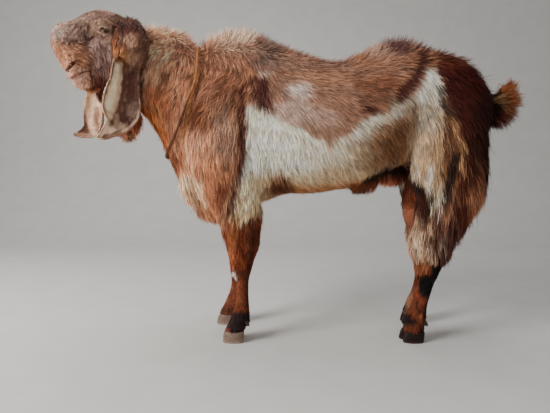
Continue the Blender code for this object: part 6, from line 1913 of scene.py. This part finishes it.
def coat(surface, table, share, colour_of, region_of, contrast, budget, rng, shade=1.0):
    """Tufts over a surface, gathered in locks and the locks in clumps; the table has lie_at's columns for each vertex."""
    face = table[surface.tri].mean(1)
    density = face[:, 7] * share
    each = np.where(face[:, 3] < 0.019, 3, np.where(face[:, 3] < 0.047, 5, 7))
    expected = (surface.area * density * each).sum()
    density *= min(1.0, budget / expected)
    print("coat: wanted", int(expected), "triangles, thinned to", round(min(1.0, budget / expected), 3))
    root, out, tri, w = surface.scatter(density, rng)
    lie = (table[tri] * w).sum(1)
    region = region_of(root)

    lie[:, 6] = np.clip(lie[:, 6] * 1.3, 0, 0.92)

    # guides, each the middle of a lock
    gap = 0.0042 + 0.0090 * face[:, 6] * smoothstep(0.010, 0.048, face[:, 3])
    g_root, g_out, g_tri, g_w = surface.scatter(1.0 / gap**2, rng)
    g = (table[g_tri] * g_w).sum(1)
    spread = contrast(g_root)
    sweep = 0.30 * noise(g_root, 0.055, 81) + 0.16 * noise(g_root, 0.020, 82) + rng.normal(0, 0.10, len(g))
    long = smoothstep(0.020, 0.050, g[:, 3])
    sweep *= 0.45 + 0.75 * long
    g_length = g[:, 3] * (1.02 + 0.22 * noise(g_root, 0.030, 83) + rng.normal(0, 0.12, len(g)))
    g_lift = g[:, 4] * np.clip(1.0 + 0.35 * noise(g_root, 0.025, 84) + rng.normal(0, 0.20, len(g)), 0.4, 1.9)
    g_lines, _ = grow(surface, g_root, g_out, g[:, :3], g_length, g_lift, sweep, g[:, 8] * 1.3, rng.random(len(g)) * 6.28, 4, 0.10 + 0.30 * long)
    tone = 1 + rng.normal(0, 1, len(g)) * spread
    # clumps of several locks where the coat is long
    c_gap = 0.015 + 0.014 * smoothstep(0.025, 0.06, face[:, 3])
    c_root, c_out, c_tri, c_w = surface.scatter(1.0 / c_gap**2, rng)
    c = (table[c_tri] * c_w).sum(1)
    c_lines, _ = grow(surface, c_root, c_out, c[:, :3], c[:, 3] * 1.08, c[:, 4] * np.clip(rng.normal(1.15, 0.25, len(c)), 0.6, 1.8), rng.normal(0, 0.16, len(c)), c[:, 8], rng.random(len(c)) * 6.28, 4, np.full(len(c), 0.25))
    c_tone = 1 + rng.normal(0, 0.10, len(c))
    clump = nearest_of(tree_of(c_root), g_root)
    g_lines = towards(g_lines, c_lines[clump], 4, np.clip(g_length / np.maximum(c[clump, 3], 1e-4), 0.3, 1.1), (0.10 + 0.42 * long) * g[:, 6])
    tone = np.clip(tone * c_tone[clump], 0.35, 1.8)
    hue = rng.normal(0, 1, len(g))
    shift = rng.normal(0, 1, (len(g), 3)) * (0.0010 + 0.0045 * long * smoothstep(0.46, 0.40, g_root[:, 2]))[:, None]
    guide = nearest_of(tree_of(g_root), root)

    count = len(root)
    long = smoothstep(0.020, 0.050, lie[:, 3])
    length = lie[:, 3] * np.clip(rng.normal(0.93, 0.14, count), 0.5, 1.25)
    lift = lie[:, 4] * np.clip(rng.normal(1.0, 0.25, count), 0.3, 1.9)
    stray = rng.random(count) < 0.02 + 0.02 * long
    lift[stray] *= 1.5
    sweep_here = sweep[guide] * 0.8 + rng.normal(0, 0.10, count)
    gather = lie[:, 6] * (0.55 + 0.45 * rng.random(count)) * np.where(stray, 0.2, 1.0)
    width = lie[:, 5] * rng.uniform(0.75, 1.25, count)
    roll = rng.normal(0, 0.45, count)
    phase = rng.random(count) * 6.28
    here = tone[guide] * (1 + 0.21 * rng.normal(0, 1, count))
    colour = colour_of(root + rng.normal(0, 0.0014, root.shape) + shift[guide], tri, w) * np.clip(here, 0.3, 1.9)[:, None]
    warm = (0.05 * hue[guide] + 0.04 * rng.normal(0, 1, count))[:, None]
    colour = np.clip(colour * (1 + warm * np.array((0.6, 0.0, -0.9))), 0.002, 0.95)
    # gain lightens the tips, partly bleached hair and partly painted light; deep darkens the roots as painted shade
    # among the hair, more where it is long
    gain = 0.10 + 0.35 * rng.random(count) + 0.14 * long
    deep = (0.30 + 0.34 * long) * shade
    steps = np.where(length < 0.0185, 2, np.where(length < 0.044, 3, 4))
    uv = np.zeros((count, 2))
    parts = {}
    for name in np.unique(region):
        some = region == name
        uv[some] = chart(root[some], out[some])
    for k in (2, 3, 4):
        chosen = np.nonzero(steps == k)[0]
        if not len(chosen):
            continue
        lines, ups = grow(surface, root[chosen], out[chosen], lie[chosen, :3], length[chosen], lift[chosen], sweep_here[chosen], lie[chosen, 8] * 1.6, phase[chosen], k, 0.08 + 0.30 * long[chosen])
        lines = towards(lines, g_lines[guide[chosen]], k, np.clip(length[chosen] / np.maximum(g_length[guide[chosen]], 1e-4), 0.3, 1.15), gather[chosen])
        if k > 2:
            lines = tuck_under_cord(lines, ups)
        lines[..., 2] = np.maximum(lines[..., 2], 0.004)
        for name in np.unique(region[chosen]):
            some = region[chosen] == name
            i = chosen[some]
            parts.setdefault(name, []).append(ribbons(lines[some], ups[some], width[i], roll[i], uv[i], colour[i], gain[i], deep[i]))
    return parts


def lashes(surface, rng):
    """Lashes along the upper lids, and a few feelers on the lips."""
    lines, ups, width, colour = [], [], [], []
    for s in (1, -1):
        at, look, ahead, above = eye_axes(s)
        for a in np.linspace(-0.0104, 0.0104, 46):
            a = a + rng.normal(0, 0.0002)
            b = float(lid_edge(np.array(a), np.array(True))) + 0.0004
            start = at + ahead * a + above * b + look * (math.sqrt(max((EYE_R + 0.0022) ** 2 - a * a - b * b, 0)))
            length = rng.uniform(0.0055, 0.0085)
            toward = unit(look * 0.9 + above * rng.uniform(-0.25, 0.15) + ahead * (a * 30 + rng.normal(0, 0.08)))
            bend = above * 0.25
            points = [start + toward * (length * t) + bend * (length * t * t) for t in (0, 0.34, 0.67, 1.0)]
            lines.append(points)
            ups.append([above] * 4)
            width.append(0.00045)
            colour.append(srgb(52, 34, 28) * rng.uniform(0.7, 1.3))
    for _ in range(60):
        f, l, u = rng.uniform(0.160, 0.188), rng.choice((-1, 1)) * rng.uniform(0.012, 0.028), rng.uniform(-0.088, -0.040)
        at = from_head((f, l, u))
        near = surface.nearest(at[None])[0]
        out = surface.no[near]
        toward = unit(out + np.array((0, 0, -0.6)) + rng.normal(0, 0.15, 3))
        length = rng.uniform(0.010, 0.020)
        lines.append([surface.co[near] + toward * (length * t) + np.array((0, 0, -0.25)) * (length * t * t) for t in (0, 0.34, 0.67, 1.0)])
        ups.append([np.array((0.3, 0.3, 0.9))] * 4)
        width.append(0.00035)
        colour.append(srgb(150, 122, 104) * rng.uniform(0.7, 1.2))
    lines, ups = np.array(lines), np.array(ups)
    n = len(lines)
    return ribbons(lines, ups, np.array(width), rng.normal(0, 0.3, n), chart(lines[:, 0], ups[:, 0]), np.array(colour), np.full(n, 0.1))


def ear_coat(obj, colour, rows, info, near, rng):
    """Short hair down the ear, longer on its root and along its rims."""
    surface = Surface(obj.data)
    co = surface.co
    angle = info[:, 1]
    rows = np.array(rows)
    order = np.argsort(rows[:, 2])
    shut = np.interp(co[:, 2], rows[order, 2], smoothstep(-0.008, 0.014, rows[order, 5]))
    edge_low, edge_high = -(94 + 118 * shut), 94 + 44 * shut
    rim = np.maximum(smoothstep(16, 0, angle - edge_low), smoothstep(16, 0, edge_high - angle))
    run = np.gradient(rows[:, :3], axis=0)
    run = np.stack([np.interp(co[:, 2], rows[order, 2], unit(run)[order, k]) for k in range(3)], 1)
    top = smoothstep(0.765, 0.825, co[:, 2])
    length = 0.0066 + 0.0040 * rim + 0.0145 * top + 0.004 * smoothstep(0.60, 0.57, co[:, 2])
    bent = noise(co, 0.030, 48)
    run = unit(run + np.array((-0.25, 0.0, 0.0)) * top[:, None] + np.array((0.5, 0.0, 0.1)) * (top * bent)[:, None])
    lift = np.radians(13 + 7 * rim + 10 * top)
    width = 0.0008 + 0.0004 * top
    gather = 0.55 + 0.25 * top
    density = (230000.0 - 60000.0 * top) * (1 + 0.4 * rim)
    table = np.column_stack([run, length, lift, width, gather, density, 0.06 + 0.12 * top])
    share = (1 - 0.30 * info[:, 2] * (1 - rim))[surface.tri].mean(1)
    made = coat(surface, table, share, lambda at, tri, w: (colour[tri] * w).sum(1), lambda at: np.full(len(at), "ear"), lambda at: 0.10 + 0.14 * smoothstep(0.765, 0.825, at[:, 2]), 90000 if near else 60000, rng, 0.4)
    return tuft_object(obj.name + "_hair", made["ear"])


def skin_colours(co):
    # the skin is painted a fifth darker than the coat, as shade under the hair
    colour = markings(co) * 0.80
    q = to_head(co)
    here = np.stack([q[:, 0], np.abs(q[:, 1]), q[:, 2]], 1)
    on_head = head_share(co)
    mouth, nostril = gap_to_line(here, MOUTH), gap_to_line(here, NOSTRIL)
    colour += (srgb(188, 128, 108) - colour) * (smoothstep(0.0065, 0.0030, mouth) * 0.75 * on_head)[:, None]
    # painted shade in the mouth's slit
    colour += (srgb(58, 30, 26) - colour) * (smoothstep(0.0026, 0.0010, mouth) * on_head)[:, None]
    colour += (srgb(150, 104, 92) - colour) * (smoothstep(0.0075, 0.0035, nostril) * 0.7 * on_head)[:, None]
    # painted shade inside the nostril
    colour += (srgb(58, 26, 26) - colour) * (smoothstep(0.0054, 0.0034, nostril) * on_head)[:, None]
    for s in (1, -1):
        at, look, ahead, above = eye_axes(s)
        d = co - at
        a, b, h = d @ ahead, d @ above, d @ look
        near = (np.hypot(a, b) < 0.03) & (h > -0.004) & (h < 0.03)
        off = np.abs(b) - np.abs(lid_edge(a, b > 0))
        off = np.where(np.abs(a) > LID_HALF, np.hypot(np.abs(a) - LID_HALF, b), off)
        below = 0.0010 * (b < 0)
        rim = near * smoothstep(0.0031 + below, 0.0014 + below, off)
        colour += (np.where((b > 0)[:, None], srgb(40, 26, 24), srgb(222, 184, 164)) - colour) * rim[:, None]
        edge = near * smoothstep(0.0010, 0.0004, off)
        colour += (srgb(60, 38, 34) - colour) * edge[:, None]
        # pink corner towards the nose
        corner = near * smoothstep(0.0030, 0.0010, np.hypot(a - LID_HALF, b))
        colour += (srgb(120, 70, 62) - colour) * (corner * 0.8)[:, None]
    return np.clip(colour, 0.001, 0.95)


# ---------------------------------------------------------------- putting it together
rng = np.random.default_rng(424)
CORD_LINE = cord_line()

coat_look = coat_material("coat_hair", 0.56, 0.0, 60.0, 0.015)
skin_look = coat_material("coat_skin", 0.66, 0.0018, 120.0, 0.03)
ear_look = coat_material("ear_skin", 0.58, 0.0009, 110.0, 0.15)
ear_hair_look = coat_material("ear_hair", 0.55, 0.0, 80.0, 0.15)
horn_look = coat_material("hoof_horn", 0.46, 0.0006, 220.0, 0.0)
cord_look = coat_material("cord_fibre", 0.80, 0.0005, 700.0, 0.10)
bare_look = coat_material("bare_skin", 0.50, 0.0010, 160.0, 0.05)
eye_look = coat_material("eye_wet", 0.10, 0.0, 30.0, 0.0)
eye_shader = eye_look.node_tree.nodes["Principled BSDF"]
eye_shader.inputs["Specular IOR Level"].default_value = 0.6
eye_shader.inputs["Coat Weight"].default_value = 1.0
eye_shader.inputs["Coat Roughness"].default_value = 0.03

skin = skin_object()
surface = Surface(skin.data)
finish_mesh(skin.data, None, skin_colours(surface.co))
print("skin", len(skin.data.vertices), "points", len(surface.tri), "triangles, area", round(float(surface.area.sum()), 3))
rows, body_rows = lie_table(Seen(skin.data))
lie_of_skin = lie_at(surface.co, rows, body_rows)
lie_of_skin[:, 3] = np.minimum(lie_of_skin[:, 3], room_at(surface.co))
# a fringe hangs over the upper edge of the hooves
fringe = smoothstep(0.052, 0.038, surface.co[:, 2])
lie_of_skin[:, 3] = np.maximum(lie_of_skin[:, 3], 0.0135 * fringe)
lie_of_skin[:, 6] = np.maximum(lie_of_skin[:, 6], 0.6 * fringe)
parts = coat(surface, lie_of_skin, haired(surface.middle), lambda at, tri, w: markings(at), region_of, lambda at: 0.15 + 0.14 * smoothstep(0.06, -0.10, at[:, 0]) + 0.07 * smoothstep(-0.22, -0.28, at[:, 0]) - 0.03 * smoothstep(0.40, 0.46, at[:, 0]), 1300000, rng)
parts["coat_head"].append(lashes(surface, rng))
piece(skin, skin_look, "coat", "head", "neck", "trunk", "tail", *LEG_NODES)
for name in sorted(parts):
    made = tuft_object(name, parts[name])
    print(name, sum(len(q) * 2 + len(t) for _, q, t, _, _ in parts[name]))
    piece(made, coat_look, "coat", *(("beard",) if name == "coat_beard" else ()))

for s, node in ((1, "eye_left"), (-1, "eye_right")):
    piece(eye_object(s), eye_look, "eye", node)
for name, table, near, node in (("ear_leaf_left", EAR_NEAR, True, "ear_left"), ("ear_leaf_right", EAR_FAR, False, "ear_right")):
    ear, colour, info = ear_object(name, table, near)
    hair = ear_coat(ear, colour, table, info, near, rng)
    piece(ear, ear_look, "ear", node)
    piece(hair, ear_hair_look, "ear")
feet(horn_look)
bag, bag_colour = scrotum_object()
bag_surface = Surface(bag.data)
at, out, tri, w = bag_surface.scatter(np.full(len(bag_surface.tri), 120000.0), rng)
tint = (bag_colour[tri] * w).sum(1) * rng.uniform(0.7, 1.3, len(at))[:, None]
upper = smoothstep(0.372, 0.415, at[:, 2])
tint += (srgb(112, 50, 28) * rng.uniform(0.5, 1.3, len(at))[:, None] - tint) * upper[:, None]
lines, ups = grow(bag_surface, at, out, np.tile((0.05, 0.0, -1.0), (len(at), 1)), rng.uniform(0.005, 0.009, len(at)) + upper * 0.024, np.full(len(at), 0.3), rng.normal(0, 0.3, len(at)), np.full(len(at), 0.05), rng.random(len(at)), 2, np.full(len(at), 0.1))
bag_hair = tuft_object("scrotum_hair", [ribbons(lines, ups, np.full(len(at), 0.0008), rng.normal(0, 0.3, len(at)), chart(at, out), np.clip(tint, 0.002, 0.9), np.full(len(at), 0.2))])
piece(bag, bare_look, "bare_skin", "scrotum")
piece(bag_hair, coat_look, "coat")
piece(cord_object(), cord_look, "cord", "neck_cord")

# ---------------------------------------------------------------- floor and light
made, nodes, links, shader = new_material("floor_plain")
place = nodes.new("ShaderNodeTexCoord")
grain = nodes.new("ShaderNodeTexNoise")
grain.inputs["Scale"].default_value = 9.0
grain.inputs["Detail"].default_value = 6.0
links.new(place.outputs["Object"], grain.inputs["Vector"])
ramp = nodes.new("ShaderNodeValToRGB")
ramp.color_ramp.elements[0].position, ramp.color_ramp.elements[1].position = 0.3, 0.7
ramp.color_ramp.elements[0].color = (0.600, 0.590, 0.570, 1)
ramp.color_ramp.elements[1].color = (0.640, 0.630, 0.612, 1)
links.new(grain.outputs["Fac"], ramp.inputs["Fac"])
links.new(ramp.outputs["Color"], shader.inputs["Base Color"])
shader.inputs["Roughness"].default_value = 0.85
profile = [(-7.0, 0.0), (0.0, 0.0), (1.6, 0.0)]
profile += [(1.6 + 1.2 * math.sin(a), 1.2 - 1.2 * math.cos(a)) for a in np.radians(np.arange(7.5, 90.1, 7.5))]
profile += [(2.8, 6.0)]
sweep_points = np.array([(x, y, z) for y, z in profile for x in (-9.0, 9.0)])
sweep_faces = np.array([(2 * i, 2 * i + 1, 2 * i + 3, 2 * i + 2) for i in range(len(profile) - 1)])
floor = put("floor", mesh_of(sweep_points, sweep_faces, "floor"))
floor.data.materials.append(made)
floor.data.polygons.foreach_set("use_smooth", np.ones(len(floor.data.polygons), bool))


def area_light(name, at, aim, size, energy, colour):
    data = bpy.data.lights.new(name, "AREA")
    data.shape, data.size, data.energy, data.color = "DISK", size, energy, colour
    obj = bpy.data.objects.new(name, data)
    obj.location = at
    obj.rotation_euler = (Vector(aim) - Vector(at)).to_track_quat("-Z", "Y").to_euler()
    bpy.context.scene.collection.objects.link(obj)


area_light("key", (-2.3, -1.5, 1.9), (-0.2, 0.0, 0.55), 1.3, 98.0, (1.0, 0.975, 0.94))
area_light("low_left", (-2.3, -0.5, 0.75), (-0.4, 0.0, 0.6), 1.2, 24.0, (1.0, 0.97, 0.93))
area_light("fill", (0.7, -2.9, 1.3), (0.1, 0.0, 0.5), 2.4, 15.0, (1.0, 0.97, 0.94))
area_light("top", (0.1, 0.7, 2.7), (0.0, 0.0, 0.6), 1.8, 20.0, (1.0, 0.98, 0.96))
world = bpy.data.worlds.new("world")
bpy.context.scene.world = world
world.use_nodes = True
world.node_tree.nodes["Background"].inputs["Color"].default_value = (0.92, 0.92, 0.93, 1.0)
world.node_tree.nodes["Background"].inputs["Strength"].default_value = 0.34
